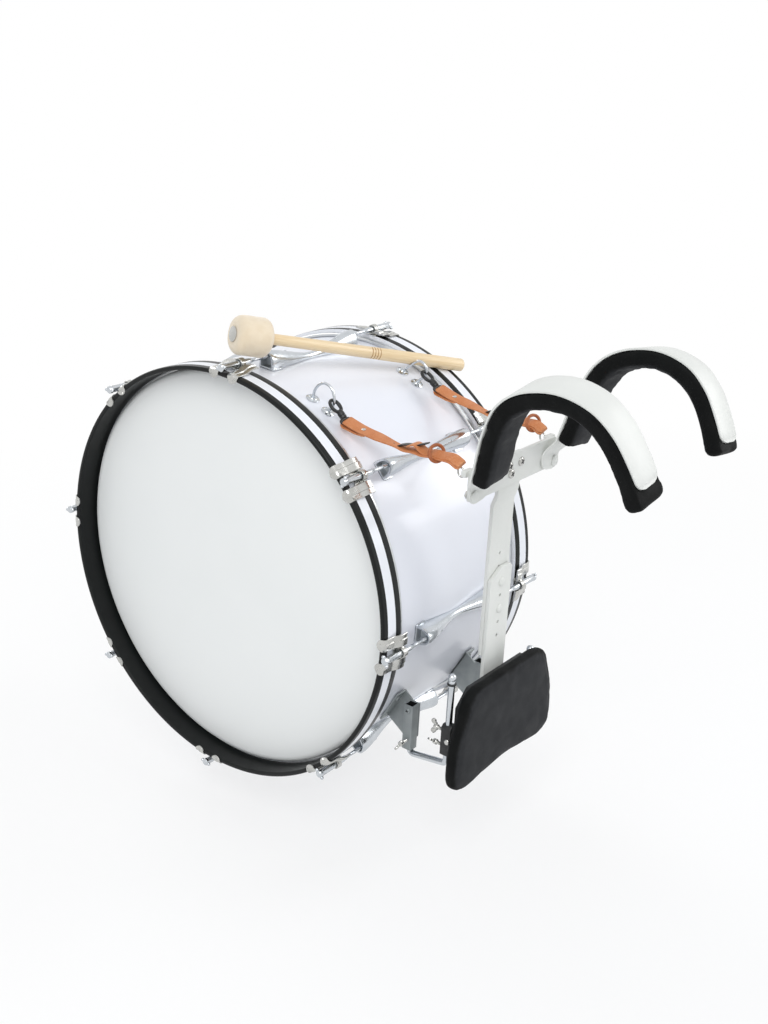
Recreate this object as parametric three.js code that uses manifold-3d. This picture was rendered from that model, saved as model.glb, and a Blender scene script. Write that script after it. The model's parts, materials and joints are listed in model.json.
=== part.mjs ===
// Marching bass drum on a shoulder carrier, with its mallet lying on top.
// Millimetres, +Z up. The drum's axis is X, the wearer stands at -Y and faces +Y.
// The origin is the place between the wearer's shoulders that carries the whole set.
import * as THREE from "three";
import { mergeVertices } from "three/addons/utils/BufferGeometryUtils.js";
import Module from "manifold-3d";

const wasm = await Module();
wasm.setup();

const DEG = Math.PI / 180;
const SEAT = 0.3; // gap between pieces that touch
const RUN = 0.4; // gap around a shaft that turns or slides
const CUT = 2; // overrun of a cutting tool past the face that it cuts
const BITE = 0.6; // how far joined pieces of one solid reach into each other

// Driving sizes.
const drum = {
  hoopRadius: 315,
  rimFromCentre: 180,
  segments: 56,
  lugs: 8,
  firstLugAngle: 6.5,
};

const hoop = { width: 38, wall: 7, rimRound: 2.4 };
const shell = { insideHoop: 4.1, wall: 7 };
const head = { recess: 30.2, film: 0.7, collar: 0.9, fleshWidth: 9.7, fleshWall: 5.3 };

const claw = {
  armWidth: 18,
  armSpacing: 36,
  thick: 3.2,
  sink: 2.3,
  hookThick: 2.6,
  hookReach: 14,
  armLength: 30,
  overhang: 3.5,
  corner: 9,
  webThick: 6,
  webFoot: 32,
  webTop: 13,
  webCover: 2.6,
};

const tRod = {
  offset: 8, // axis beyond the hoop's outside
  rod: 2.7,
  rear: 4,
  front: 5,
  collar: 6.2,
  collarLength: 5,
  bar: 2.1,
  barHalf: 6.6,
  ball: 2.9,
  sleeveBehindHoop: 17,
  proud: 2.4, // collar's back beyond the rim
};

const lug = {
  halfLength: 95,
  halfWidth: 13,
  rise: 27,
  waistHalfWidth: 5.5,
  waistRise: 9,
  footHalfWidth: 15,
  footThick: 2.2,
  footLength: 22,
  mouth: 6,
  mouthDepth: 14,
  rodTipShare: 0.579, // where the rods end, from the middle to the face
};

// The carrier leans a little towards the wearer at its top.
const carrier = { lean: 3.4, behindHoop: 59, barThick: 6, barWidth: 52 };

const crossbar = {
  halfLength: 104,
  bottom: 181,
  top: 224.5,
  front: 10.7, // towards the wearer from the carrier's datum
  boltRadius: 5,
  boltHead: 3,
  boltSpacing: 28.6,
  boltTop: 209.5,
  boltDrop: 12,
  boltSide: 8.5,
  eyeHeight: 9,
  eyeWidth: 20,
  eyeReach: 7,
};

const upperBar = {
  bottom: -75,
  joggleBottom: 152,
  joggleTop: 168,
  back: 7.2,
  top: 221,
};

const lowerBar = {
  top: 56,
  bottom: -238,
  front: 5.1,
  chamferWide: 24,
  chamferTall: 15,
  chamferSmall: 5,
};

const holes = {
  pitch: 20.8,
  radius: 2.6,
  lowest: -49.2,
  upperCount: 7,
  lowerOpen: [0, 1, 3],
  lowerBolted: [2, 4],
  boltRadius: 6.5,
  boltHead: 2.6,
};

const shoulder = {
  boltInset: 5.3, // from the end of the crossbar
  boltZ: 190,
  splay: 8,
  pinRadius: 4,
  pinHead: 8,
  pinHeadThick: 3,
  stripThick: 3,
  stripWidth: 58,
  footInner: 33,
  footOuter: 10.5,
  footBelow: 11,
  footAbove: 13,
  reach: 233.4,
  rise: 150.4,
  loopStartBack: 13.8,
  loopStartUp: 33.5,
  padThick: 23,
  padBulge: 1.5,
  padPastStrip: 24,
  padEndRound: 11,
};

const bellyPad = {
  thick: 29,
  halfWidth: 134,
  top: -88,
  height: 161,
  backInset: 24,
  crown: 3,
};

const bellyBoard = { thick: 8, halfWidth: 93, top: -104, bottom: -236, corner: 24 };

const jRod = {
  x: 103,
  y: -3.7,
  radius: 4.75,
  bottom: -213,
  capLeft: -74,
  capRight: -110,
  capRadius: 5.9,
  bend: 9,
  insertion: 60,
};

const clampBlock = {
  inner: 93.3,
  outer: 111,
  back: 3.6,
  front: 12.8,
  top: -149,
  bottom: -197,
  wingTop: -162,
  wingBottom: -186,
  boltRadius: 4.5,
  boltHead: 3,
  boltY: -8.4,
  boltZ: -173,
};

const bracket = {
  plateX: 79,
  plateThick: 3,
  tube: 16,
  tubeWall: 2,
  tubeX: 87,
  tubeY: 72.5,
  tubeTop: -154.7,
  tubeBottom: -226.6,
  runDrop: 9,
  flangeReach: 19,
  flangeAngle: 212.2,
  flangeHalf: 30,
  plateReach: 37,
  boltRadius: 3.6,
  boltHead: 2.4,
  wingAbove: 15,
};

const wing = {
  shaft: 2.4,
  shaftLength: 12,
  hub: 4.2,
  hubLength: 7,
  span: 23.2,
  height: 8,
  thick: 3.2,
  turns: { tube: 60, upper: 90, lower: 35 },
};

const anchor = {
  x: 102,
  firstAngle: 115,
  lastAngle: 120.8,
  washer: 9.5,
  washerThick: 1.8,
  post: 4,
  postHeight: 5.5,
  wire: 2,
  rise: 34,
};

const hook = { wire: 2.1, ringLong: 22, ringWide: 15, barrel: 4.2, barrelLength: 7, eyeLong: 12 };

const strap = {
  width: 20,
  thick: 3.4,
  startLeft: { angle: 129.4, beyondHoop: -0.6 },
  startRight: { angle: 128.1, beyondHoop: 10 },
  endInset: 4, // from the end of the crossbar
  endZ: 219,
  sag: 3,
};

const mallet = {
  headPastLug: 38,
  headAngle: 97.15,
  endX: 193,
  endAngle: 122.2,
  settle: 0.5, // the tilted head sits this much lower on the claw than a level one
  headRadius: 30,
  headLength: 60,
  headRound: 12,
  washer: 11,
  washerThick: 1.6,
  neckRadius: 8.4,
  endRadius: 9.8,
  groove: 0.7,
  grooveWidth: 2,
  grooves: 4,
  grooveSpacing: 4.6,
  endRound: 3,
};

// Shapes that are traced in shares of the sizes above.
const loopShares = [
  [0.028, 0.176],
  [0.073, 0.46],
  [0.156, 0.747],
  [0.3, 0.927],
  [0.511, 1],
  [0.707, 0.932],
  [0.842, 0.764],
  [0.932, 0.5525],
  [1, 0.346],
];
const padSectionShares = [
  [-0.96, 0],
  [-1, 0.25],
  [-0.99, 0.56],
  [-0.87, 0.84],
  [-0.5, 0.97],
  [0, 1.01],
  [0.5, 0.97],
  [0.87, 0.84],
  [0.99, 0.56],
  [1, 0.25],
  [0.96, 0],
];
const bellyOutlineShares = [
  [0, 0],
  [0.33, 0.005],
  [0.62, 0.022],
  [0.76, 0.09],
  [0.87, 0.27],
  [0.97, 0.48],
  [1, 0.63],
  [1, 0.85],
  [0.93, 0.94],
  [0.74, 0.985],
  [0.45, 0.975],
  [0, 0.95],
];
const bracketPlateShares = [
  [0, 0],
  [0.94, -0.06],
  [1, 0.4],
  [0.68, 0.94],
  [0, 1],
];
const lugSectionShares = [
  [1, 0],
  [1, 0.5],
  [0.8, 0.8],
  [0.42, 0.98],
  [-0.42, 0.98],
  [-0.8, 0.8],
  [-1, 0.5],
  [-1, 0],
];
const lugTaperShares = [
  [1, 1],
  [0.72, 0.97],
  [0.45, 0.54],
  [0.2, 0.12],
  [0, 0],
];
const quarterShares = [0, 1 / 3, 2 / 3, 1];
// The bail's wire: shares of half the washers' spacing, and of the bail's rise.
const bailShares = [
  [-0.9, 0.1],
  [-0.6, 0.34],
  [-0.42, 0.52],
  [-0.22, 0.73],
  [0.16, 0.94],
  [0.65, 1],
  [1.15, 0.94],
  [1.4, 0.77],
  [1.38, 0.5],
  [1.15, 0.24],
  [0.95, 0.1],
];
// How far each T-rod's cross handle stands turned at rest, as shares of half a turn, one per lug.
const handleTurnShares = [0.08, 0.3, 0.62, 0.15, 0.66, 0.02, 0.45, 0.8];

const materials = {
  whiteLacquer: new THREE.MeshStandardMaterial({ color: 0xe9ebf2, roughness: 0.22 }),
  film: new THREE.MeshStandardMaterial({ color: 0xe7eae9, roughness: 0.6 }),
  hoopPaint: new THREE.MeshStandardMaterial({ color: 0x222625, roughness: 0.4 }),
  chrome: new THREE.MeshStandardMaterial({ color: 0xc3c7cc, roughness: 0.2, metalness: 1 }),
  nickel: new THREE.MeshStandardMaterial({ color: 0xbfc0bd, roughness: 0.3, metalness: 1 }),
  carrierPaint: new THREE.MeshStandardMaterial({ color: 0xdfe1db, roughness: 0.45 }),
  greySteel: new THREE.MeshStandardMaterial({ color: 0x7c8280, roughness: 0.4, metalness: 0.8 }),
  blackCover: new THREE.MeshStandardMaterial({ color: 0x28292b, roughness: 0.9 }),
  blackSteel: new THREE.MeshStandardMaterial({ color: 0x1b1c1d, roughness: 0.5 }),
  leather: new THREE.MeshStandardMaterial({ color: 0xc27646, roughness: 0.6 }),
  wood: new THREE.MeshStandardMaterial({ color: 0xe3c79b, roughness: 0.55 }),
  felt: new THREE.MeshStandardMaterial({ color: 0xd9c7a6, roughness: 1 }),
};

// Places that follow from the driving sizes.
const hoopInside = drum.hoopRadius - hoop.wall;
const shellRadius = hoopInside - shell.insideHoop;
const boltX = crossbar.halfLength - shoulder.boltInset;
const strapEndX = crossbar.halfLength - strap.endInset;
const carrierDistance = drum.hoopRadius + carrier.behindHoop;
const hoopRear = drum.rimFromCentre - hoop.width;
const headPlane = drum.rimFromCentre - head.recess;
const facetHalfAngle = Math.PI / drum.segments;
const facetApothemShare = Math.cos(facetHalfAngle);
const lugStep = 360 / drum.lugs;
const rodAxis = drum.hoopRadius + tRod.offset;
const webOuter = hoopRear + claw.overhang + claw.webThick;
const rodTip = lug.halfLength * lug.rodTipShare;
const shellFlat = shellRadius * facetApothemShare;
const lean = carrier.lean * DEG;
const RIGHT_ANGLE = 90;

// Solids.
function outward(geometry) {
  const position = geometry.getAttribute("position");
  const index = geometry.index;
  const corner = [new THREE.Vector3(), new THREE.Vector3(), new THREE.Vector3()];
  let volume = 0;
  for (let i = 0; i < index.count; i += 3) {
    corner.forEach((c, k) => c.fromBufferAttribute(position, index.getX(i + k)));
    volume += corner[0].dot(corner[1].clone().cross(corner[2]));
  }
  if (volume < 0) index.array.reverse();
  return geometry;
}

function welded(geometry) {
  const bare = new THREE.BufferGeometry();
  bare.setAttribute("position", geometry.getAttribute("position"));
  if (geometry.index) bare.setIndex(geometry.index);
  return outward(mergeVertices(bare, 1e-3));
}

function toSolid(geometry) {
  const g = welded(geometry);
  return new wasm.Manifold(
    new wasm.Mesh({
      numProp: 3,
      vertProperties: new Float32Array(g.getAttribute("position").array),
      triVerts: new Uint32Array(g.index.array),
    }),
  );
}

function toGeometry(solid) {
  const mesh = solid.getMesh();
  const geometry = new THREE.BufferGeometry();
  geometry.setAttribute("position", new THREE.BufferAttribute(mesh.vertProperties, 3));
  geometry.setIndex(new THREE.BufferAttribute(mesh.triVerts, 1));
  return geometry;
}

function union(...pieces) {
  return toGeometry(pieces.map(toSolid).reduce((a, b) => a.add(b)));
}

function subtract(piece, ...tools) {
  return toGeometry(tools.map(toSolid).reduce((a, b) => a.subtract(b), toSolid(piece)));
}

// A closed solid through rings that all have the same number of points.
function loft(rings, closed = false) {
  const count = rings[0].length;
  const points = rings.flat().map((p) => p.clone());
  const index = [];
  const spans = closed ? rings.length : rings.length - 1;
  for (let r = 0; r < spans; r++) {
    const low = r * count;
    const high = ((r + 1) % rings.length) * count;
    for (let k = 0; k < count; k++) {
      const next = (k + 1) % count;
      index.push(low + k, low + next, high + next, low + k, high + next, high + k);
    }
  }
  if (!closed) {
    [0, rings.length - 1].forEach((r) => {
      const middle = new THREE.Vector3();
      rings[r].forEach((p) => middle.add(p));
      points.push(middle.divideScalar(count));
      const tip = points.length - 1;
      for (let k = 0; k < count; k++) {
        const a = r * count + k;
        const b = r * count + ((k + 1) % count);
        if (r) index.push(tip, a, b);
        else index.push(tip, b, a);
      }
    });
  }
  const geometry = new THREE.BufferGeometry().setFromPoints(points);
  geometry.setIndex(index);
  return welded(geometry);
}

// A profile of [x, radius] points turned about the X axis.
function turned(profile, segments, phase = 0) {
  const points = profile.map(([x, radius]) => new THREE.Vector2(radius, x));
  const lathe = new THREE.LatheGeometry(points, segments, phase, 2 * Math.PI);
  return welded(lathe.rotateZ(-Math.PI / 2));
}

function ringTurned(profile) {
  const closed = [...profile, profile[0]];
  return turned(closed, drum.segments, drum.firstLugAngle * DEG - facetHalfAngle);
}

// A flat outline in X and Y, made thick along Z.
function plate(outline, thick, openings = []) {
  const shape = new THREE.Shape(outline.map(([x, y]) => new THREE.Vector2(x, y)));
  openings.forEach(([x, y, radius]) => {
    shape.holes.push(new THREE.Path().absarc(x, y, radius, 0, 2 * Math.PI, true));
  });
  return new THREE.ExtrudeGeometry(shape, { depth: thick, bevelEnabled: false, curveSegments: 4 });
}

// A plate whose outline is given in X and Z and whose front face lies at y.
function standingPlate(outline, front, thick, openings = []) {
  return plate(outline, thick, openings)
    .rotateX(Math.PI / 2)
    .translate(0, front + thick, 0);
}

function box(x0, x1, y0, y1, z0, z1) {
  return new THREE.BoxGeometry(x1 - x0, y1 - y0, z1 - z0).translate(
    (x0 + x1) / 2,
    (y0 + y1) / 2,
    (z0 + z1) / 2,
  );
}

function cylinder(from, to, radius, sides = 12) {
  const way = to.clone().sub(from);
  const middle = from.clone().add(to).multiplyScalar(1 / 2);
  const turn = new THREE.Quaternion().setFromUnitVectors(
    new THREE.Vector3(0, 1, 0),
    way.clone().normalize(),
  );
  return new THREE.CylinderGeometry(radius, radius, way.length(), sides)
    .applyQuaternion(turn)
    .translate(middle.x, middle.y, middle.z);
}

const at = (x, y, z) => new THREE.Vector3(x, y, z);

// A round rod through corner points, bent at each inner one.
function rod(corners, radius, bend, sides = 10, bendSteps = 4, capRings = []) {
  const path = [corners[0].clone()];
  for (let i = 1; i < corners.length - 1; i++) {
    const back = corners[i - 1].clone().sub(corners[i]).normalize();
    const on = corners[i + 1].clone().sub(corners[i]).normalize();
    const half = back.angleTo(on) / 2;
    const start = corners[i].clone().addScaledVector(back, bend / Math.tan(half));
    const end = corners[i].clone().addScaledVector(on, bend / Math.tan(half));
    const bisector = back.clone().add(on).normalize();
    const hub = corners[i].clone().addScaledVector(bisector, bend / Math.sin(half));
    for (let k = 0; k <= bendSteps; k++) {
      const a = start.clone().sub(hub);
      const b = end.clone().sub(hub);
      const whole = a.angleTo(b);
      const share = k / bendSteps;
      path.push(
        hub
          .clone()
          .addScaledVector(a, Math.sin((1 - share) * whole) / Math.sin(whole))
          .addScaledVector(b, Math.sin(share * whole) / Math.sin(whole)),
      );
    }
  }
  path.push(corners.at(-1).clone());
  return tube(path, radius, sides, capRings);
}

// Rings of a tube along a path of points, and its caps as [how far past the first point, radius] pairs.
function tube(path, radius, sides, capRings = []) {
  const ways = path.map((p, i) => {
    const back = path[Math.max(i - 1, 0)];
    const on = path[Math.min(i + 1, path.length - 1)];
    return on.clone().sub(back).normalize();
  });
  let across = Math.abs(ways[0].x) < 1 / 2 ? at(1, 0, 0) : at(0, 1, 0);
  across = across.addScaledVector(ways[0], -across.dot(ways[0])).normalize();
  const ring = (centre, way, r) => {
    const side = way.clone().cross(across);
    return Array.from({ length: sides }, (_, k) => {
      const a = (2 * Math.PI * k) / sides;
      return centre
        .clone()
        .addScaledVector(across, r * Math.cos(a))
        .addScaledVector(side, r * Math.sin(a));
    });
  };
  const rings = capRings.map(([past, r]) =>
    ring(path[0].clone().addScaledVector(ways[0], -past), ways[0], r),
  );
  path.forEach((p, i) => {
    across = across.clone().addScaledVector(ways[i], -across.dot(ways[i])).normalize();
    rings.push(ring(p, ways[i], radius));
  });
  return loft(rings);
}

// A closed ring of wire: an ellipse about centre, long along one way and wide along the other.
function wireRing(centre, long, wide, halfLong, halfWide, wire, steps = 12, sides = 5) {
  const normal = long.clone().cross(wide).normalize();
  const rings = Array.from({ length: steps }, (_, k) => {
    const a = (2 * Math.PI * k) / steps;
    const p = centre
      .clone()
      .addScaledVector(long, halfLong * Math.cos(a))
      .addScaledVector(wide, halfWide * Math.sin(a));
    const out = long
      .clone()
      .multiplyScalar(halfWide * Math.cos(a))
      .addScaledVector(wide, halfLong * Math.sin(a))
      .normalize();
    return Array.from({ length: sides }, (_, j) => {
      const b = (2 * Math.PI * j) / sides;
      return p
        .clone()
        .addScaledVector(out, wire * Math.cos(b))
        .addScaledVector(normal, wire * Math.sin(b));
    });
  });
  return loft(rings, true);
}

// Frames: the drum's, the place of a lug on it, and the leaning carrier's.
const set = new THREE.Group();
const carrierFrame = new THREE.Matrix4()
  .makeTranslation(0, -carrierDistance, 0)
  .multiply(new THREE.Matrix4().makeRotationX(lean));

function onCarrier(point) {
  return point.clone().applyMatrix4(carrierFrame);
}

// X runs out along the drum's axis on the given side, Z out along the radius.
function lugFrame(angle, side) {
  const radial = at(0, Math.cos(angle * DEG), Math.sin(angle * DEG));
  const along = at(side, 0, 0);
  return new THREE.Matrix4().makeBasis(along, radial.clone().cross(along), radial);
}

function add(name, geometry, material, frame) {
  const mesh = new THREE.Mesh(geometry, material);
  mesh.name = name;
  if (frame) mesh.applyMatrix4(frame);
  set.add(mesh);
  return mesh;
}

const lugAngles = Array.from({ length: drum.lugs }, (_, k) => drum.firstLugAngle + k * lugStep);
const sides = [
  ["left", -1],
  ["right", 1],
];

// One claw: two hooked arms over the hoop, a rear plate and the web that the T-rod passes.
function clawSolid() {
  const inner = drum.hoopRadius - claw.sink;
  const outer = drum.hoopRadius + claw.thick;
  const armIn = claw.armSpacing / 2 - claw.armWidth / 2;
  const armOut = claw.armSpacing / 2 + claw.armWidth / 2;
  const rear = hoopRear - claw.overhang;
  const front = drum.rimFromCentre + SEAT + claw.hookThick;
  const armRoot = drum.rimFromCentre - claw.armLength;
  const tipRadius = claw.armWidth / 2;
  const tip = drum.hoopRadius - claw.hookReach;
  const outline = [
    [rear, -(armOut - claw.corner)],
    [armRoot - claw.corner, -armOut],
    [front, -armOut],
    [front, -armIn],
    [armRoot, -armIn],
    [armRoot, armIn],
    [front, armIn],
    [front, armOut],
    [armRoot - claw.corner, armOut],
    [rear, armOut - claw.corner],
  ];
  const standing = new THREE.Matrix4().makeBasis(at(0, 1, 0), at(0, 0, 1), at(1, 0, 0));
  const pieces = [plate(outline, outer - inner).translate(0, 0, inner)];
  [-1, 1].forEach((hand) => {
    const hookShape = new THREE.Shape();
    const middle = (hand * claw.armSpacing) / 2;
    hookShape.moveTo(middle + tipRadius, outer);
    hookShape.lineTo(middle - tipRadius, outer);
    hookShape.lineTo(middle - tipRadius, tip + tipRadius);
    hookShape.absarc(middle, tip + tipRadius, tipRadius, Math.PI, 2 * Math.PI, false);
    const hookSolid = new THREE.ExtrudeGeometry(hookShape, {
      depth: claw.hookThick,
      bevelEnabled: false,
      curveSegments: 3,
    });
    pieces.push(hookSolid.applyMatrix4(standing).translate(front - claw.hookThick, 0, 0));
  });
  const webTop = rodAxis + tRod.rear + RUN + claw.webCover;
  const web = plate(
    [
      [-claw.webFoot / 2, inner],
      [claw.webFoot / 2, inner],
      [claw.webTop / 2, webTop],
      [-claw.webTop / 2, webTop],
    ],
    claw.webThick,
    [[0, rodAxis, tRod.rear + RUN]],
  );
  pieces.push(web.applyMatrix4(standing).translate(webOuter - claw.webThick, 0, 0));
  return union(...pieces);
}

function makeDrum() {
  const inner = shellRadius - shell.wall;
  const filmInside = headPlane - head.film;
  const shellEnd = filmInside - SEAT;
  add(
    "shell",
    ringTurned([
      [-shellEnd, inner],
      [shellEnd, inner],
      [shellEnd, shellRadius],
      [-shellEnd, shellRadius],
    ]),
    materials.whiteLacquer,
  );
  const sleeve = shellRadius + SEAT;
  const fleshOuter = sleeve + head.fleshWall;
  const fleshFront = hoopRear - SEAT;
  const fleshRear = fleshFront - head.fleshWidth;
  const headProfile = [
    [headPlane, 0],
    [headPlane, sleeve + head.collar],
    [fleshFront, sleeve + head.collar],
    [fleshFront, fleshOuter],
    [fleshRear, fleshOuter],
    [fleshRear, sleeve],
    [filmInside, sleeve],
    [filmInside, 0],
  ];
  const hoopProfile = [
    [hoopRear, hoopInside],
    [drum.rimFromCentre - hoop.rimRound, hoopInside],
    [drum.rimFromCentre, hoopInside + hoop.rimRound],
    [drum.rimFromCentre, drum.hoopRadius - hoop.rimRound],
    [drum.rimFromCentre - hoop.rimRound, drum.hoopRadius],
    [hoopRear, drum.hoopRadius],
  ];
  const phase = drum.firstLugAngle * DEG - facetHalfAngle;
  const oneClaw = clawSolid();
  sides.forEach(([name, side]) => {
    const mirrored = (profile) => profile.map(([x, r]) => [side * x, r]);
    add(
      "head_" + name,
      turned(mirrored(headProfile), drum.segments, phase),
      materials.film,
    );
    const claws = lugAngles.map((angle) => oneClaw.clone().applyMatrix4(lugFrame(angle, side)));
    add(
      "hoop_" + name + "_with_claws",
      union(ringTurned(mirrored(hoopProfile)), ...claws),
      materials.hoopPaint,
    );
  });
}

// A double-ended casting: an arched mouth at each end and a narrow waist between them.
function lugSolid() {
  const base = shellFlat + SEAT;
  const stations = [
    ...lugTaperShares,
    ...lugTaperShares
      .slice(0, -1)
      .reverse()
      .map(([place, fullness]) => [-place, fullness]),
  ];
  const rings = stations.map(([place, fullness]) => {
    const half = lug.waistHalfWidth + fullness * (lug.halfWidth - lug.waistHalfWidth);
    const rise = lug.waistRise + fullness * (lug.rise - lug.waistRise);
    return lugSectionShares.map(([across, up]) =>
      at(place * lug.halfLength, across * half, base + up * rise),
    );
  });
  const tools = [];
  const feet = [];
  [-1, 1].forEach((end) => {
    const face = end * (lug.halfLength + CUT);
    const pocket = end * (lug.halfLength - lug.mouthDepth);
    const bottom = end * (rodTip - SEAT);
    tools.push(cylinder(at(face, 0, rodAxis), at(pocket, 0, rodAxis), lug.mouth, 8));
    tools.push(cylinder(at(face, 0, rodAxis), at(bottom, 0, rodAxis), tRod.rod + RUN, 8));
    const near = end * (lug.halfLength - lug.footLength);
    feet.push(
      box(
        Math.min(near, end * lug.halfLength),
        Math.max(near, end * lug.halfLength),
        -lug.footHalfWidth,
        lug.footHalfWidth,
        base,
        base + lug.footThick,
      ),
    );
  });
  return subtract(union(loft(rings), ...feet), ...tools);
}

// A T-rod about the local X axis: threaded rod, two-step sleeve, collar and cross handle.
function tRodSolid(turn) {
  const shoulderX = webOuter + SEAT;
  const sleeveRear = hoopRear - tRod.sleeveBehindHoop;
  const collarX = drum.rimFromCentre + tRod.proud;
  const end = collarX + tRod.collarLength;
  const body = turned(
    [
      [rodTip, 0],
      [rodTip, tRod.rod],
      [sleeveRear, tRod.rod],
      [sleeveRear, tRod.rear],
      [shoulderX, tRod.rear],
      [shoulderX, tRod.front],
      [collarX, tRod.front],
      [collarX, tRod.collar],
      [end, tRod.collar],
      [end, 0],
    ],
    8,
  );
  const barX = collarX + tRod.collarLength / 2;
  const tip = (z) => at(barX, 0, z);
  const bar = cylinder(tip(-tRod.barHalf), tip(tRod.barHalf), tRod.bar, 6);
  const balls = [-1, 1].map((end2) =>
    new THREE.OctahedronGeometry(tRod.ball, 0).translate(barX, 0, end2 * tRod.barHalf),
  );
  return union(body, bar, ...balls)
    .rotateX(turn * Math.PI)
    .translate(0, 0, rodAxis);
}

function makeTension() {
  lugAngles.forEach((angle, k) => {
    add("lug_" + (k + 1), lugSolid(), materials.chrome, lugFrame(angle, 1));
    sides.forEach(([name, side]) => {
      const turnShare = handleTurnShares[k % handleTurnShares.length];
      add(
        "t_rod_" + name + "_" + (k + 1),
        tRodSolid(turnShare),
        materials.chrome,
        lugFrame(angle, side),
      );
    });
  });
}

function makeCarrierBars() {
  const front = -crossbar.front;
  const back = front + carrier.barThick;
  const half = crossbar.halfLength;
  const bars = standingPlate(
    [
      [-half, crossbar.bottom],
      [half, crossbar.bottom],
      [half, crossbar.top],
      [-half, crossbar.top],
    ],
    front,
    carrier.barThick,
    [-1, 1].map((hand) => [hand * boltX, shoulder.boltZ, shoulder.pinRadius + RUN]),
  );
  const boltHeads = [
    [-crossbar.boltSpacing / 2, crossbar.boltTop],
    [crossbar.boltSpacing / 2, crossbar.boltTop],
    [-crossbar.boltSide, crossbar.boltTop - crossbar.boltDrop],
  ].map(([x, z]) =>
    cylinder(
      at(x, front + BITE, z),
      at(x, front - crossbar.boltHead, z),
      crossbar.boltRadius,
      8,
    ),
  );
  const eyes = [-1, 1].map((hand) =>
    box(
      hand * strapEndX - crossbar.eyeWidth / 2,
      hand * strapEndX + crossbar.eyeWidth / 2,
      back - BITE,
      back + crossbar.eyeReach,
      crossbar.top - crossbar.eyeHeight,
      crossbar.top,
    ),
  );
  add("crossbar", union(bars, ...boltHeads, ...eyes), materials.carrierPaint, carrierFrame);

  // The upper bar steps forward at its top, to lie behind the crossbar.
  const topBack = back + SEAT + carrier.barThick;
  const sideView = [
    [upperBar.back, upperBar.bottom],
    [upperBar.back, upperBar.joggleBottom],
    [topBack, upperBar.joggleTop],
    [topBack, upperBar.top],
    [topBack - carrier.barThick, upperBar.top],
    [topBack - carrier.barThick, upperBar.joggleTop],
    [upperBar.back - carrier.barThick, upperBar.joggleBottom],
    [upperBar.back - carrier.barThick, upperBar.bottom],
  ];
  const upright = plate(sideView, carrier.barWidth)
    .applyMatrix4(new THREE.Matrix4().makeBasis(at(0, 1, 0), at(0, 0, 1), at(1, 0, 0)))
    .translate(-carrier.barWidth / 2, 0, 0);
  const upperHoles = Array.from({ length: holes.upperCount }, (_, k) => holes.lowest + k * holes.pitch).map(
    (z) =>
      cylinder(
        at(0, upperBar.back + CUT, z),
        at(0, upperBar.back - carrier.barThick - CUT, z),
        holes.radius,
        6,
      ),
  );
  add("upper_bar", subtract(upright, ...upperHoles), materials.carrierPaint, carrierFrame);

  const w = carrier.barWidth / 2;
  const lowerFront = -lowerBar.front;
  const flat = standingPlate(
    [
      [-w, lowerBar.bottom],
      [w, lowerBar.bottom],
      [w, lowerBar.top - lowerBar.chamferSmall],
      [w - lowerBar.chamferSmall, lowerBar.top],
      [-w + lowerBar.chamferWide, lowerBar.top],
      [-w, lowerBar.top - lowerBar.chamferTall],
    ],
    lowerFront,
    carrier.barThick,
    holes.lowerOpen.map((k) => [0, holes.lowest + k * holes.pitch, holes.radius]),
  );
  const lockBolts = holes.lowerBolted.map((k) => {
    const z = holes.lowest + k * holes.pitch;
    return cylinder(
      at(0, lowerFront + BITE, z),
      at(0, lowerFront - holes.boltHead, z),
      holes.boltRadius,
      8,
    );
  });
  add("lower_bar", union(flat, ...lockBolts), materials.carrierPaint, carrierFrame);
}

// The loop's outer face in the carrier's Y and in height above its bolt.
function loopPath() {
  const footFace = -crossbar.front - SEAT;
  const startY = footFace - shoulder.loopStartBack;
  const points = [at(0, startY, shoulder.loopStartUp)];
  loopShares.forEach(([back, up]) => {
    points.push(
      at(0, startY - back * shoulder.reach, shoulder.loopStartUp + up * shoulder.rise),
    );
  });
  return new THREE.CatmullRomCurve3(points, false, "centripetal").getSpacedPoints(20);
}

// For each point of a path in the YZ plane, the way along it and the way to its inner side.
function pathFrames(path) {
  return path.map((p, i) => {
    const back = path[Math.max(i - 1, 0)];
    const on = path[Math.min(i + 1, path.length - 1)];
    const way = on.clone().sub(back).normalize();
    return { p, way, inner: at(0, -way.z, way.y).normalize() };
  });
}

function shoulderStrip(hand) {
  const footFace = -crossbar.front - SEAT;
  const wide = shoulder.stripWidth / 2;
  const inner = -hand * shoulder.footInner;
  const outer = hand * shoulder.footOuter;
  const foot = [
    [at(0, footFace, -shoulder.footBelow), 0.82],
    [at(0, footFace, -shoulder.footBelow / 2), 1],
    [at(0, footFace, shoulder.footAbove), 1],
  ];
  const path = [...foot.map(([p]) => p), ...loopPath()];
  const frames = pathFrames(path);
  const rings = frames.map(({ p, inner: into }, i) => {
    const low = Math.min(inner, outer);
    const high = Math.max(inner, outer);
    const middle = (low + high) / 2;
    const half = (high - low) / 2;
    const isFoot = i < foot.length;
    const left = isFoot ? middle - half * foot[i][1] : -wide;
    const right = isFoot ? middle + half * foot[i][1] : wide;
    const way = isFoot ? at(0, -1, 0) : into;
    const deep = p.clone().addScaledVector(way, shoulder.stripThick);
    return [
      at(left, p.y, p.z),
      at(right, p.y, p.z),
      at(right, deep.y, deep.z),
      at(left, deep.y, deep.z),
    ];
  });
  const bore = cylinder(
    at(0, footFace + CUT, 0),
    at(0, footFace - shoulder.stripThick - CUT, 0),
    shoulder.pinRadius + RUN,
    12,
  );
  return subtract(loft(rings), bore);
}

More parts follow.
